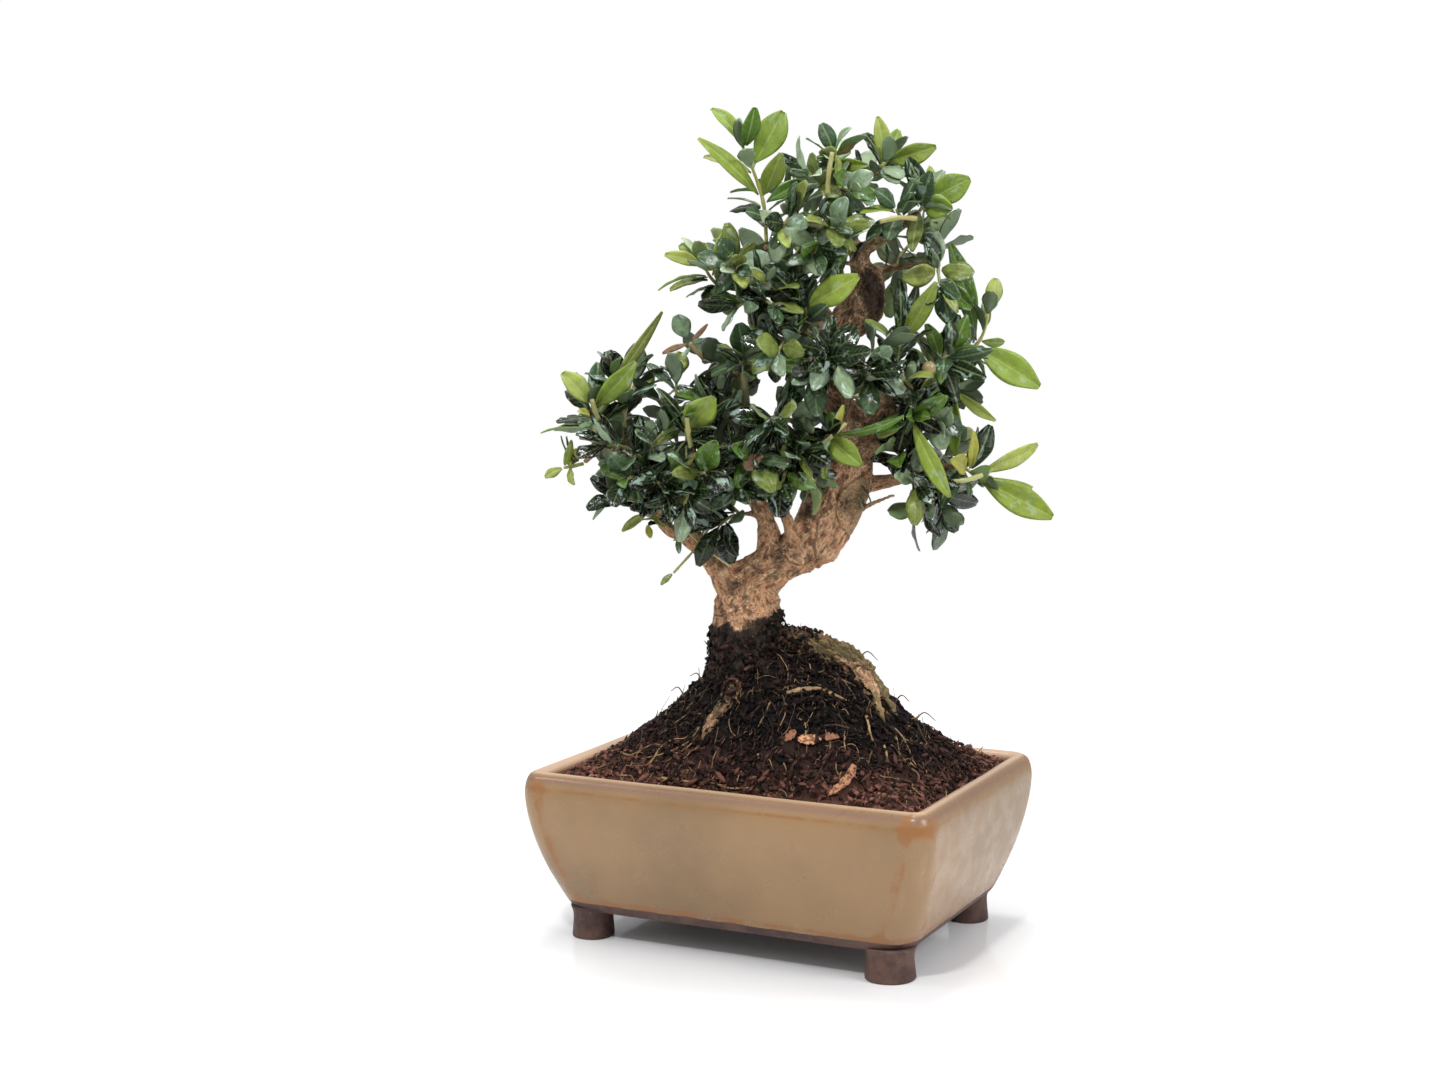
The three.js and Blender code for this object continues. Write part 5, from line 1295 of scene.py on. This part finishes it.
def root_fibre_material():
    """Dry rootlets: brown to straw, darker where soil clings."""
    material, add = new_material("dry_rootlets")
    places = add("TexCoord", out="Object")
    fleck = add("Attribute", out="Fac", attribute_name="fleck")
    soiled = add("TexNoise", {"Vector": places, "Scale": 220.0, "Detail": 4.0})
    soiled = add("MapRange", (soiled, 0.48, 0.64, 0.0, 0.85))
    colour = add("Mix", {0: fleck, 6: "#33211A", 7: "#A98A60"}, out=2)
    colour = add("Mix", {0: soiled, 6: colour, 7: "#2C1B15"}, out=2)
    fine = add("TexNoise", {"Vector": places, "Scale": 900.0, "Detail": 3.0})
    finish_surface(add, fine, 0.6, 0.0003, {"Base Color": colour, "Roughness": 0.8, "IOR": 1.45})
    return material


def chip_material():
    """Dry bark and wood chips: orange-tan with darker lines along them."""
    material, add = new_material("wood_chips")
    places = add("TexCoord", out="Object")
    fleck = add("Attribute", out="Fac", attribute_name="fleck")
    lines = add("TexNoise", {"Vector": places, "Scale": 700.0, "Detail": 4.0})
    cracked = add("MapRange", (lines, 0.38, 0.56, 0.9, 0.0))
    colour = add("Mix", {0: fleck, 6: "#7C4734", 7: "#C99466"}, out=2)
    colour = add("Mix", {0: cracked, 6: colour, 7: "#5C3424"}, out=2)
    finish_surface(add, lines, 0.8, 0.0005, {"Base Color": colour, "Roughness": 0.75, "IOR": 1.5})
    return material


def glaze_material():
    """Stoneware dipped in a satin tan glaze, which breaks to rust on its edges and leaves the feet bare."""
    material, add = new_material("tan_stoneware_glaze")
    places = add("TexCoord", out="Object")
    state = add("Attribute", out="Vector", attribute_name="glaze_state")
    edge, bare, lip = add("SeparateXYZ", (state,), out=ALL)
    worn = add("Attribute", out="Fac", attribute_name="worn")
    # Clouds in the glaze 60 mm across, its drift 9 mm and the clay's grit 1.7 mm
    cloud = add("TexNoise", {"Vector": places, "Scale": 16.0, "Detail": 4.0, "Roughness": 0.55})
    drift = add("TexNoise", {"Vector": places, "Scale": 110.0, "Detail": 5.0, "Roughness": 0.6})
    grit = add("TexNoise", {"Vector": places, "Scale": 600.0, "Detail": 4.0, "Roughness": 0.7})
    clouded = add("MapRange", (cloud, 0.35, 0.66, 0.0, 1.0))
    flecked = add("MapRange", (grit, 0.55, 0.72, 0.0, 0.4))
    # Rust shows where the glaze ran thin, in a band broken up by its own drift
    broken = add("MapRange", (drift, 0.34, 0.66, 0.15, 1.9))
    broken = add("Math", (grit, 0.9, broken), operation="MULTIPLY_ADD")
    thin = add("Math", (broken, edge), operation="MULTIPLY")
    rusty = add("MapRange", (thin, 0.22, 1.0, 0.0, 0.85))
    # The bare clay of the feet is purplish brown, paler in patches and on its grit
    clay = add("Math", (drift, 0.7, bare), operation="MULTIPLY_ADD")
    clay = add("MapRange", (clay, 0.78, 0.92, 0.0, 1.0))
    patch = add("MapRange", (drift, 0.35, 0.65, 0.0, 1.0))
    gritty = add("MapRange", (grit, 0.5, 0.75, 0.0, 0.35))
    clay_colour = add("Mix", {0: patch, 6: "#3C2421", 7: "#573C31"}, out=2)
    clay_colour = add("Mix", {0: gritty, 6: clay_colour, 7: "#755A4B"}, out=2)
    # Iron specks and pinholes about 0.8 mm wide, one in some 16 mm
    specks = add("TexVoronoi", {"Vector": places, "Scale": 62.0})
    speck = add("MapRange", (specks, 0.022, 0.036, 0.85, 0.0))
    colour = "#7E6444"
    for share, laid in (
        (clouded, "#90714D"), (flecked, "#9A7958"), (lip, "#B89A80"), (worn, "#765645"), (rusty, "#8A5A2E"),
        (clay, clay_colour), (speck, "#3E2B1E"),
    ):
        colour = add("Mix", {0: share, 6: colour, 7: laid}, out=2)
    rough = add("MapRange", (drift, 0.35, 0.65, 0.27, 0.4))
    rough = add("Mix", {0: clay, 2: rough, 3: 0.6}, data_type="FLOAT")
    height = add("Math", (speck, -1.2, drift), operation="MULTIPLY_ADD")
    pitted = add("Math", (grit, clay), operation="MULTIPLY")
    height = add("Math", (pitted, 0.9, height), operation="MULTIPLY_ADD")
    finish_surface(add, height, 0.35, 0.0004, {"Base Color": colour, "Roughness": rough, "IOR": 1.52})
    return material


# Pot


def rectangle_ring(half_x, half_y, corner, corner_steps=10, side_parts=26):
    """Points round a rounded rectangle, with as many on each side whatever its size."""
    points = []
    for quarter in range(4):
        sign_x, sign_y = (1 if quarter in (0, 3) else -1), (1 if quarter < 2 else -1)
        for step in range(corner_steps + 1):
            angle = (quarter + step / corner_steps) * math.pi / 2
            x = sign_x * (half_x - corner) + corner * math.cos(angle)
            y = sign_y * (half_y - corner) + corner * math.sin(angle)
            points.append((x, y))
    points = np.array(points)
    ring = []
    for i, point in enumerate(points):
        following = points[(i + 1) % len(points)]
        parts = side_parts if (i + 1) % (corner_steps + 1) == 0 else 1
        ring += [point + (following - point) * part / parts for part in range(parts)]
    return np.array(ring)


def bump_over(value, middle, reach):
    """One at the middle, falling off to nothing past the reach on both sides."""
    return np.exp(-(((value - middle) / reach) ** 2))


def glaze_values(points):
    """Where the glaze ran thin, the clay is bare, the lip is pale and its edge is worn, point by point."""
    x, y, z = points.T
    half_x, half_y, corner = wall_at(z)
    past_x, past_y = abs(x) - (half_x - corner), abs(y) - (half_y - corner)
    outside = np.hypot(np.maximum(past_x, 0), np.maximum(past_y, 0))
    outside = outside + np.minimum(np.maximum(past_x, past_y), 0)
    inset = corner - outside
    outer = np.clip((4.5 - inset) / 1.5, 0, 1)
    # Rust shows where each corner's curve begins, on its top, in a thin line under the lip and above the foot
    at_corner = np.minimum(past_x, past_y)
    arc_ends = bump_over(at_corner, 0.4, 0.9) * 0.62
    corner_top = np.clip((at_corner + 4) / 4, 0, 1) * bump_over(z, 61.5, 4) * 0.47
    under_lip = bump_over(z, 61.4, 0.9) * 0.4
    foot_line = bump_over(z, 16.6, 1.5) * 0.8
    edge = outer * np.clip(arc_ends + corner_top + under_lip + foot_line, 0, 1)
    # The underside and the lowest 3 mm of the wall were left out of the glaze
    under = (z < 17.5) & (inset > 2)
    bare = np.where(under, 1.0, outer * np.clip((16.8 - z) / 2.6, 0, 1))
    lip = np.clip((z - 64.2) / 1.6, 0, 1) * np.clip((inset - 2.6) / 1.5, 0, 1) * 0.9
    worn = bump_over(z, 64.9, 1.3) * np.clip((3.6 - inset) / 1.2, 0, 1) * 0.75
    return np.column_stack([edge, bare, lip]), worn


def wall_rings():
    """Rings of the wall from the foot line over the rim and down inside, a little uneven as fired clay is."""
    profile = Line(POT_PROFILE, np.ones(len(POT_PROFILE)))
    rings = []
    for z, inset, loss in profile.place(np.linspace(0, 1, WALL_RINGS)):
        half_x, half_y, corner = wall_at(z)
        ring = rectangle_ring(half_x - inset, half_y - inset, max(1.5, corner - loss))
        sway = [noise.noise((x / 38, y / 38, z / 30)) for x, y in ring]
        ring = ring + unit(ring) * CLAY_SWAY * np.array(sway)[:, None]
        lift = np.array([noise.noise((x / 45, y / 45, 7)) for x, y in ring])
        lifted = z + CLAY_SWAY * lift * (z > WAVY_ABOVE)
        rings.append(np.column_stack([ring, np.broadcast_to(lifted, len(ring))]))
    return np.array(rings)


def foot_rings(side, end, radius):
    """Rings of one round foot, pressed slightly out of true."""
    angle = np.linspace(0, 2 * math.pi, 40, endpoint=False)
    rings = []
    for z, share in FOOT_SHAPE:
        wobble = 1 + 0.018 * np.sin(3 * angle + side + z / 5) + 0.012 * np.sin(5 * angle + end)
        reach = radius * share * (wobble if z > 0.2 else 1)
        x, y = side * FOOT_X + reach * np.cos(angle), end * FOOT_Y + reach * np.sin(angle)
        rings.append(np.column_stack([x, y, np.full(len(angle), z)]))
    return np.array(rings)


def drain_drill(x):
    """Round bar that cuts one drain hole through the pot's floor."""
    angle = np.linspace(0, 2 * math.pi, 48, endpoint=False)
    around = np.column_stack([x + DRAIN_RADIUS * np.cos(angle), DRAIN_RADIUS * np.sin(angle)])
    points, faces = skin(np.array([np.column_stack([around, np.full(len(angle), z)]) for z in DRILL_FROM_TO]))
    mesh = bpy.data.meshes.new("drill")
    mesh.from_pydata(from_pot(points).tolist(), [], faces)
    return put_in_scene("drill", mesh)


def make_pot(material):
    heap = Heap()
    heap.add(*skin(wall_rings()))
    for side, end, radius in FEET:
        heap.add(*skin(foot_rings(side, end, radius)))
    pot = heap.piece("glazed_pot", "pot_glaze", material, from_pot)
    for half in (-0.5, 0.5):
        drill = drain_drill(half * DRAIN_SPACING)
        cut = pot.modifiers.new("drain", "BOOLEAN")
        cut.object, cut.operation, cut.solver = drill, "DIFFERENCE", "EXACT"
        apply_modifiers(pot)
        bpy.data.objects.remove(drill)
    here = (read(pot.data, "co") - POT_MIDDLE) / MM
    state, worn = glaze_values(here)
    on_foot = here[:, 2] < FOOT_HEIGHT - 0.2
    state[on_foot] = (0, 1, 0)
    store(pot.data, glaze_state=state, worn=worn)
    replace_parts(pot, "pot")


# Peat


def soil_ring(share, rim):
    """Ring of the mound's surface in the pot's frame, oval near the trunk and square at the rim."""
    reach = rim - np.array([MOUND_X, MOUND_Y])
    oval = 1 / np.hypot(reach[:, 0] / MOUND_OVAL_X, reach[:, 1] / MOUND_OVAL_Y)
    reach = reach * (share * (oval + (1 - oval) * share**4))[:, None]
    x, y = MOUND_X + reach[:, 0], MOUND_Y + reach[:, 1]
    return np.column_stack([x, y, mound_height(x, y)])


def clodded(points, strength):
    """Clods 9 mm and crumbs 2 mm across, raised on points of the mound."""
    raised = points.copy()
    for i, (x, y, z) in enumerate(points):
        clod = noise.fractal((x / 9, y / 9, z / 9), 1.0, 2.0, 4)
        crumb = noise.fractal((x / 2.2, y / 2.2, z / 2.2), 0.8, 2.0, 3)
        raised[i, 2] += strength * (1.6 * clod + 1.2 * crumb - 0.6)
        raised[i, :2] += strength * 0.6 * crumb
    return raised


def soil_square(z):
    """Ring where the peat meets the pot's inner wall at a height."""
    half_x, half_y, corner = wall_at(z)
    inset = RIM_WIDTH + GAP
    return rectangle_ring(half_x - inset, half_y - inset, max(1.5, corner - 5), corner_steps=6, side_parts=84)


def make_soil(material):
    rim = soil_square(SOIL_EDGE)
    rings = [np.column_stack([soil_square(z), np.full(len(rim), z)]) for z in SOIL_SIDE]
    shares = np.linspace(0.995, 0.1, MOUND_RINGS)
    rings += [clodded(soil_ring(share, rim), min(1, (1.0 - share) / 0.06)) for share in shares]
    points, faces = skin(np.array(rings))
    heap = Heap()
    heap.add(points, faces, fleck=dryness(points) * 0.35)
    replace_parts(heap.piece("peat_mound", "peat", material, from_pot), "soil")
    return rim


def dryness(points):
    """How far the peat has dried: wet on the mound round the trunk, dry and redder out along the rim."""
    x, y, _ = np.asarray(points).T
    out = np.hypot((x - MOUND_X) / MOUND_OVAL_X, (y - MOUND_Y) / MOUND_OVAL_Y)
    return np.clip((out - 0.75) / 0.45, 0, 1)


def surface_point(rim, random):
    """A place on the mound, as likely on steep ground as on flat, and the ground's way up there."""
    half_x, half_y = rim[:, 0].max() - 1.2, rim[:, 1].max() - 1.2
    while True:
        x, y = (2 * next(random) - 1) * half_x, (2 * next(random) - 1) * half_y
        spots = mound_height(np.array([x, x + 0.5, x]), np.array([y, y, y + 0.5]))
        up = np.array([-(spots[1] - spots[0]) / 0.5, -(spots[2] - spots[0]) / 0.5, 1.0])
        steep = np.linalg.norm(up)
        if next(random) < steep / 2.4:
            return np.array([x, y, spots[0]]), up / steep


def add_crumb(heap, point, up, random, dry, size):
    """One crumb or shred of peat, thrown down any way round."""
    large = size > LARGE_CRUMB
    base = np.array(BALL if large else GRAIN, float)
    rough = np.array([1 + 0.55 * (next(random) - 0.5) for _ in base])
    long = 1 + 2.4 * next(random) ** 2.4
    shape = np.array([long, 0.8, 0.55]) * size
    axis = unit(np.array([next(random) - 0.5, next(random) - 0.5, next(random) - 0.5]) + 1e-6)
    lean = np.array(Matrix.Rotation(0.9 * (next(random) - 0.5) * 2, 3, tuple(axis)))
    way = unit(np.cross(up, axis))
    stand = np.column_stack([way, np.cross(up, way), up])
    lifted = point + up * (0.1 + 1.4 * next(random))
    fleck = min(1.0, next(random) ** (3.6 - 2.7 * dry) * (0.12 + 0.88 * dry))
    thrown = (base * rough[:, None] * shape) @ (stand @ lean).T + lifted
    heap.add(thrown, BALL_FACES if large else GRAIN_FACES, fleck=fleck)


def make_crumbs(rim, material):
    """Loose crumbs all over the mound, save on the chips that lie there."""
    random = random_from(CRUMB_SEED)
    heap = Heap()
    chips = np.array([chip[:2] for chip in CHIPS])
    for _ in range(CRUMBS):
        point, up = surface_point(rim, random)
        size = 0.36 + 1.0 * next(random) ** 2.4
        if np.hypot(*(chips - point[:2]).T).min() < CLEAR_CHIP:
            continue
        add_crumb(heap, point, up, random, float(dryness([point])[0]), size)
    heap.piece("peat_crumbs", "peat", material, from_pot)


def walked(start, heading, turn, step, steps, random, lift):
    """Path of a fibre that wanders over the mound, at a lift given for each step."""
    (x, y), path = start, []
    for k in range(steps):
        z = float(mound_height(np.array(x), np.array(y)))
        path.append((x, y, z + lift(k / (steps - 1))))
        heading += turn + 0.9 * (next(random) - 0.5)
        x = np.clip(x + math.cos(heading) * step, -FIBRE_LIMIT_X, FIBRE_LIMIT_X)
        y = np.clip(y + math.sin(heading) * step, -FIBRE_LIMIT_Y, FIBRE_LIMIT_Y)
    return path


def make_fibres(rim, material):
    """Rootlets and coconut fibres: most lie curled among the crumbs, a few stand out of them."""
    heap = Heap()
    random = random_from(FIBRE_SEED)
    for _ in range(FIBRES):
        point, _ = surface_point(rim, random)
        loose = next(random) > 0.93
        length = (3 + 15 * next(random) ** 2.2) * (0.6 if loose else 1)
        rise = 3 + 4 * next(random)
        height, phase = 0.5 + 0.7 * next(random), 6.3 * next(random)

        def lift(t):
            if loose:
                return 0.4 + rise * t**1.5
            return height + 0.7 * math.sin(5 * t + phase)

        path = walked(point[:2], 6.3 * next(random), 0.9 * (next(random) - 0.5), length / 7, 8, random, lift)
        radius = 0.14 + 0.3 * next(random) ** 2
        line = Line(path, np.linspace(radius, radius * 0.45, 8))
        heap.add(*skin(tube_rings(line, 4, 1.1)), fleck=next(random) ** 2.8)
    for path, radius, pale in ROOTLETS:
        laid = [(x, y, float(mound_height(np.array(float(x)), np.array(float(y)))) + 0.9) for x, y in path]
        rings = tube_rings(Line(laid, np.linspace(radius, radius * 0.5, len(laid))), 6, 0.8)
        rings += 0.15 * np.array([[noise.noise(tuple(p / 1.5)) for p in ring] for ring in rings])[..., None]
        heap.add(*skin(rings), fleck=pale)
    for path in STRAYS:
        line = Line(turned(seen(path), POT_TURN), np.linspace(0.35, 0.15, len(path)))
        heap.add(*skin(tube_rings(line, 5, 0.7)), fleck=0.35)
    heap.piece("rootlets", "peat", material, from_pot)


def make_chips(material):
    """Flakes of wood and bark that lie on the front of the mound."""
    heap = Heap()
    for x, y, heading, length, width, curl, tone in CHIPS:
        along, across = np.meshgrid(np.linspace(-1, 1, 15), np.linspace(-1, 1, 7), indexing="ij")
        ragged = 1 + 0.2 * np.sin(3 * along + x) + 0.12 * np.sin(11 * along + 2 * x)
        half = width / 2 * np.sqrt(np.clip(1 - along**4, 0.03, 1)) * ragged
        u, v = along * length / 2, across * half + curl * length * (along**2 - 0.4)
        cos, sin = math.cos(heading), math.sin(heading)
        px, py = x + u * cos - v * sin, y + u * sin + v * cos
        top = mound_height(px, py) + 2.0 + 0.25 * np.sin(4 * u) * abs(across)
        hollow = -0.12 * width * (1 - across**2)
        upper = np.stack([px, py, top + hollow + 0.3 * (1 - across**2)], -1)
        lower = np.stack([px, py, top + hollow - 0.5], -1)
        heap.add(*skin(np.concatenate([upper, lower[:, -2:0:-1]], axis=1)), fleck=tone)
    heap.piece("bark_chips", "peat", material, from_pot)


# Wood


def nearness(place, spots):
    """Strongest share of the listed spots at a place, each fading over its own reach."""
    shares = []
    for *spot, reach, share in spots:
        apart = sum((a - b) ** 2 for a, b in zip(place, spot))
        shares.append(share * math.exp(-apart / reach**2))
    return max(shares)


def tapered(t):
    """Shares of a root's radius, drawn in towards its end."""
    return 1 - 0.7 * np.clip((t - 0.78) / 0.22, 0, 1) ** 1.5


def along_lines(lines):
    """Samples of every line, with all that the bark needs there, and a tree that finds the nearest."""
    samples = []
    for number, (name, line) in enumerate(lines):
        shares = np.linspace(0, 1, max(4, int(line.length())))
        middle, across, side = line.frames(shares)
        run = np.linspace(0, line.length(), len(shares))
        for k, t in enumerate(shares):
            samples.append((middle[k], line.radius(t), across[k], side[k], run[k], t, number, name))
    tree = KDTree(len(samples))
    for i, sample in enumerate(samples):
        tree.insert(sample[0], i)
    tree.balance()
    return samples, tree


def dampness(root, t, place, lump):
    """How wet the bark is: as listed along a root and where peat buries it, and low down on the trunk."""
    if root:
        listed = np.interp(t, np.linspace(0, 1, len(root["wet"])), root["wet"])
        return max(listed, np.clip((root["buried"] - t) / 0.08 + 0.5, 0, 1))
    if place[2] < DRY_ABOVE:
        line = WET_LINE + WET_SLANT * (place[0] + TRUNK_FOOT_LEFT) + 6 * lump
        return np.clip((line - place[2]) / 8, 0, 1)
    return 0.0


def strand_gap(offset, crosswise, radius, t, lump):
    """Depth of the groove where the far half of the arched root has split into two strands."""
    beside = np.dot(offset, unit(np.cross(crosswise, TO_VIEWER)))
    split = math.exp(-(((beside + 0.25 * radius * lump) / (0.28 * radius)) ** 2))
    return split * (np.clip((t - 0.42) / 0.15, 0, 1) * (np.dot(offset, TO_VIEWER) > 0))


def raise_bark(mesh, lines):
    """Gives the wood its bark, point by point, and returns the wet places that peat clings to."""
    samples, tree = along_lines(lines)
    points, normals = read(mesh, "co"), read(mesh, "normal")
    here = turned((points - POT_MIDDLE) / MM, -POT_TURN)
    grain, state = np.zeros((len(points), 3)), np.zeros((len(points), 3))
    relief, scar, moved = (np.zeros(len(points)) for _ in range(3))
    held = []
    for i, place in enumerate(here):
        best = min(tree.find_n(place, 6), key=lambda hit: hit[2] - samples[hit[1]][1])
        middle, radius, across, side, run, t, number, name = samples[best[1]]
        offset = place - middle
        spot = Vector((np.dot(offset, across) + number * 31.0, np.dot(offset, side), run * 0.55))
        grain[i] = spot
        bulk = min(1.0, radius / 8)
        furrow = noise.fractal(spot * 0.4, 0.9, 2.1, 4)
        lump = noise.noise(Vector(place) / 6.5)
        burr = noise.fractal(Vector(place) / 2.6, 0.8, 2.0, 3)
        pebble = noise.voronoi(spot * 0.5)[0][0]
        root = ROOTS.get(name)
        relief[i] = furrow
        scar[i] = nearness(place, SCARS)
        damp = dampness(root, t, place, lump)
        if name == "arch":
            split = strand_gap(offset, np.cross(across, side), radius, t, lump)
            moved[i] -= 1.5 * split
            # The groove between the strands is darkened nearly to black by the same share as soaked bark,
            # which also lets wet peat cling in it
            damp = max(damp, 0.95 * split)
        rough = 0.5 * furrow + 1.1 * lump * bulk + 0.35 * burr - 0.7 * pebble - 0.1
        moved[i] += bulk * rough + 0.12 * furrow
        moved[i] += scar[i] * (1.5 * burr - 0.5) + damp * bulk * 1.3 * burr
        if root:
            moved[i] += bulk * (1.3 * burr + 0.7 * furrow)
        mossy = root["moss"] * (normals[i][2] > -0.2) if root else 0.0
        state[i] = radius, mossy, damp
        if damp > (WET_ROOT if root else WET_TRUNK) and place[2] > FOOT_FROM:
            held.append(i)
    shift = normals * (moved * MM)[:, None]
    mesh.vertices.foreach_set("co", (points + shift).astype(np.float32).ravel())
    store(mesh, grain=grain, bark_state=state, relief=relief, scar=scar)
    smooth(mesh)
    mesh.update()
    return turned(here[held], POT_TURN), normals[held]


def make_wood(limbs, roots, twigs, material):
    """Trunk, limbs, roots and bare twigs: tubes grown together by a voxel remesh, then barked."""
    lines = [*limbs.items(), *roots.items(), *(("twig", line) for line in twigs)]
    heap = Heap()
    for name, line in lines:
        sides = 28 if line.radii[0] > 9 else 18 if line.radii[0] > 4 else 12
        heap.add(*skin(tube_rings(line, sides, 1.2, tapered if name in ROOTS else None)))
    wood = heap.piece("bark_and_limbs", "bark", material, from_viewer)
    grown = wood.modifiers.new("grown", "REMESH")
    grown.mode, grown.voxel_size = "VOXEL", WOOD_VOXEL * MM
    soft = wood.modifiers.new("soft", "SMOOTH")
    soft.factor, soft.iterations = 0.5, 5
    apply_modifiers(wood)
    held = raise_bark(wood.data, lines)
    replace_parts(wood, "trunk")
    return held


def make_foot_peat(places, ways, material):
    """Wet peat that clings to the foot of the trunk and the tops of the roots."""
    random = random_from(FOOT_SEED)
    heap = Heap()
    for _ in range(FOOT_CRUMBS):
        which = int(next(random) * len(places))
        size = 0.45 + 0.8 * next(random) ** 2
        dry = 0.6 * next(random) ** 3
        add_crumb(heap, places[which] - ways[which] * 0.4, ways[which], random, dry, size)
    heap.piece("foot_peat", "peat", material, from_pot)


# Leafy pieces


def make_sprays(sprays, young, mature):
    """Every shoot and spray, its stems and leaves in one piece, in place of the model's."""
    for number, spray in enumerate(sprays):
        heap = Heap()
        bright = spray["name"] in SHOOTS
        for index, (stem, _) in enumerate(spray["stems"]):
            add_stem(heap, stem, "s" if bright else "w", number * 9 + index)
        for index, leaf in enumerate(spray["leaves"]):
            add_leaf(heap, leaf, number * 100 + index)
        slot, material = ("young_leaves", young) if bright else ("mature_leaves", mature)
        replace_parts(heap.piece("leaves_" + spray["name"], slot, material, from_viewer), spray["name"])


def make_inner_leaves(leaves, material):
    heap = Heap()
    for index, leaf in enumerate(leaves):
        add_leaf(heap, leaf, INNER_LEAF_SEED + index)
    heap.piece("inner_leaves", "mature_leaves", material, from_viewer)


def make_loose(material):
    """Sprigs, buds and dry leaves on their own, and the sawn end of the right arm."""
    heap = Heap()
    for number, (start, end, width, tone, roll) in enumerate(LOOSE_LEAVES):
        base, tip = seen(start), seen(end)
        leaf = Leaf(base, tip, swung(TO_VIEWER, unit(tip - base), math.radians(roll)), width)
        leaf.tone = tone
        add_leaf(heap, leaf, LOOSE_LEAF_SEED + number)
    for number, (points, radius, tone) in enumerate(LOOSE_STEMS):
        add_stem(heap, Line(seen(points), np.full(len(points), radius)), tone, LOOSE_STEM_SEED + number)
    points, radius = KNOB
    add_stem(heap, Line(seen(points), [radius * 0.8, radius]), "n", KNOB_SEED)
    heap.piece("loose_sprigs", "mature_leaves", material, from_viewer)


# The scene


def make_floor():
    """Pale polished floor that fades into the white of the room far from the pot, so that no edge shows."""
    mesh = bpy.data.meshes.new("floor")
    corners = [(x * FLOOR_REACH, y * FLOOR_REACH, 0) for x, y in ((-1, -1), (1, -1), (1, 1), (-1, 1))]
    mesh.from_pydata(corners, [], [(0, 1, 2, 3)])
    floor = put_in_scene("floor", mesh)
    material, add = new_material("pale_polished_floor")
    places = add("TexCoord", out="Object")
    cloud = add("TexNoise", {"Vector": places, "Scale": 3.0, "Detail": 3.0})
    colour = add("Mix", {0: cloud, 6: "#E3E3E4", 7: "#ECECEC"}, out=2)
    polished = add("BsdfPrincipled", {"Base Color": colour, "Roughness": 0.1, "IOR": 1.55})
    far = add("VectorMath", (places,), out="Value", operation="LENGTH")
    gone = add("MapRange", (far, 0.3, 0.9, 0.0, 1.0))
    add("OutputMaterial", {"Surface": add("MixShader", (gone, polished, add("BsdfTransparent")))})
    mesh.materials.append(material)


def placed(place, right, back):
    """Matrix that stands a lamp or camera at a place, with its right and its back turned these ways."""
    turn = np.column_stack([right, np.cross(back, right), back])
    return Matrix([*((*row, shift) for row, shift in zip(turn, place)), (0, 0, 0, 1)])


def make_lights():
    """Round soft lamps aimed at the tree."""
    for name, (place, aimed_at, size, power) in LIGHTS.items():
        data = bpy.data.lights.new(name, "AREA")
        data.shape, data.size, data.energy = "DISK", size, power
        back = unit(np.array(place) - np.array([0, 0, aimed_at]))
        right = unit(np.cross(np.array([0, 0, 1.0]), back))
        put_in_scene(name, data).matrix_world = placed(place, right, back)


def make_camera():
    """The photograph's own view, worked out from the pot's rim, base and feet."""
    data = bpy.data.cameras.new("camera")
    data.sensor_width, data.lens = SENSOR_WIDTH, SENSOR_WIDTH * FOCAL_PIXELS / IMAGE_PIXELS
    data.clip_start, data.clip_end = 0.05, 50
    right = unit(np.array(CAMERA_RIGHT))
    back = np.array(CAMERA_BACK)
    back = unit(back - right * np.dot(back, right))
    camera = put_in_scene("camera", data)
    camera.matrix_world = placed(from_pot(CAMERA_PLACE), right, back)
    bpy.context.scene.camera = camera


def make_world():
    """White room: bright above and behind the tree, dimmer on the side that the camera stands on."""
    world = bpy.data.worlds.new("soft_white_room")
    add = emptied(world)
    bpy.context.scene.world = world
    way = add("TexCoord", out="Generated")
    behind = add("VectorMath", (way, (-0.35, 0.7, 0.62)), out="Value", operation="DOT_PRODUCT")
    bright = add("MapRange", (behind, -0.75, 0.55, 0.26, 1.05))
    # Reflections see a room half as bright, so that leaves and glaze keep their depth of colour
    dimmed = add("Math", (add("LightPath", out="Is Glossy Ray"), -0.5, 1.0), operation="MULTIPLY_ADD")
    strength = add("Math", (bright, dimmed), operation="MULTIPLY")
    room = add("Background", {"Color": "#FCFDFF", "Strength": strength})
    shown = add("Background", {"Color": "#FFFFFF", "Strength": 1.0})
    both = add("MixShader", (add("LightPath", out="Is Camera Ray"), room, shown))
    add("OutputWorld", {"Surface": both})


make_camera()
make_world()
make_floor()
make_lights()
bpy.context.scene.view_settings.view_transform = "Standard"

limbs, roots, twigs, sprays, inner = grow()
young = leaf_material("young_olive_leaf", roughness=0.36, rib_strength=0.3, glow=0.15, gloss=0.3, blotch=0.12)
mature = leaf_material("mature_olive_leaf", roughness=0.13, rib_strength=0.12, glow=0.03,
                       gloss=0.6, blotch=0.3)
make_sprays(sprays, young, mature)
make_inner_leaves(inner, mature)
make_loose(mature)
wet_places, wet_ways = make_wood(limbs, roots, twigs, bark_material())
make_pot(glaze_material())
peat = peat_material()
rim = make_soil(peat)
make_crumbs(rim, peat)
make_foot_peat(wet_places, wet_ways, peat)
make_fibres(rim, root_fibre_material())
make_chips(chip_material())
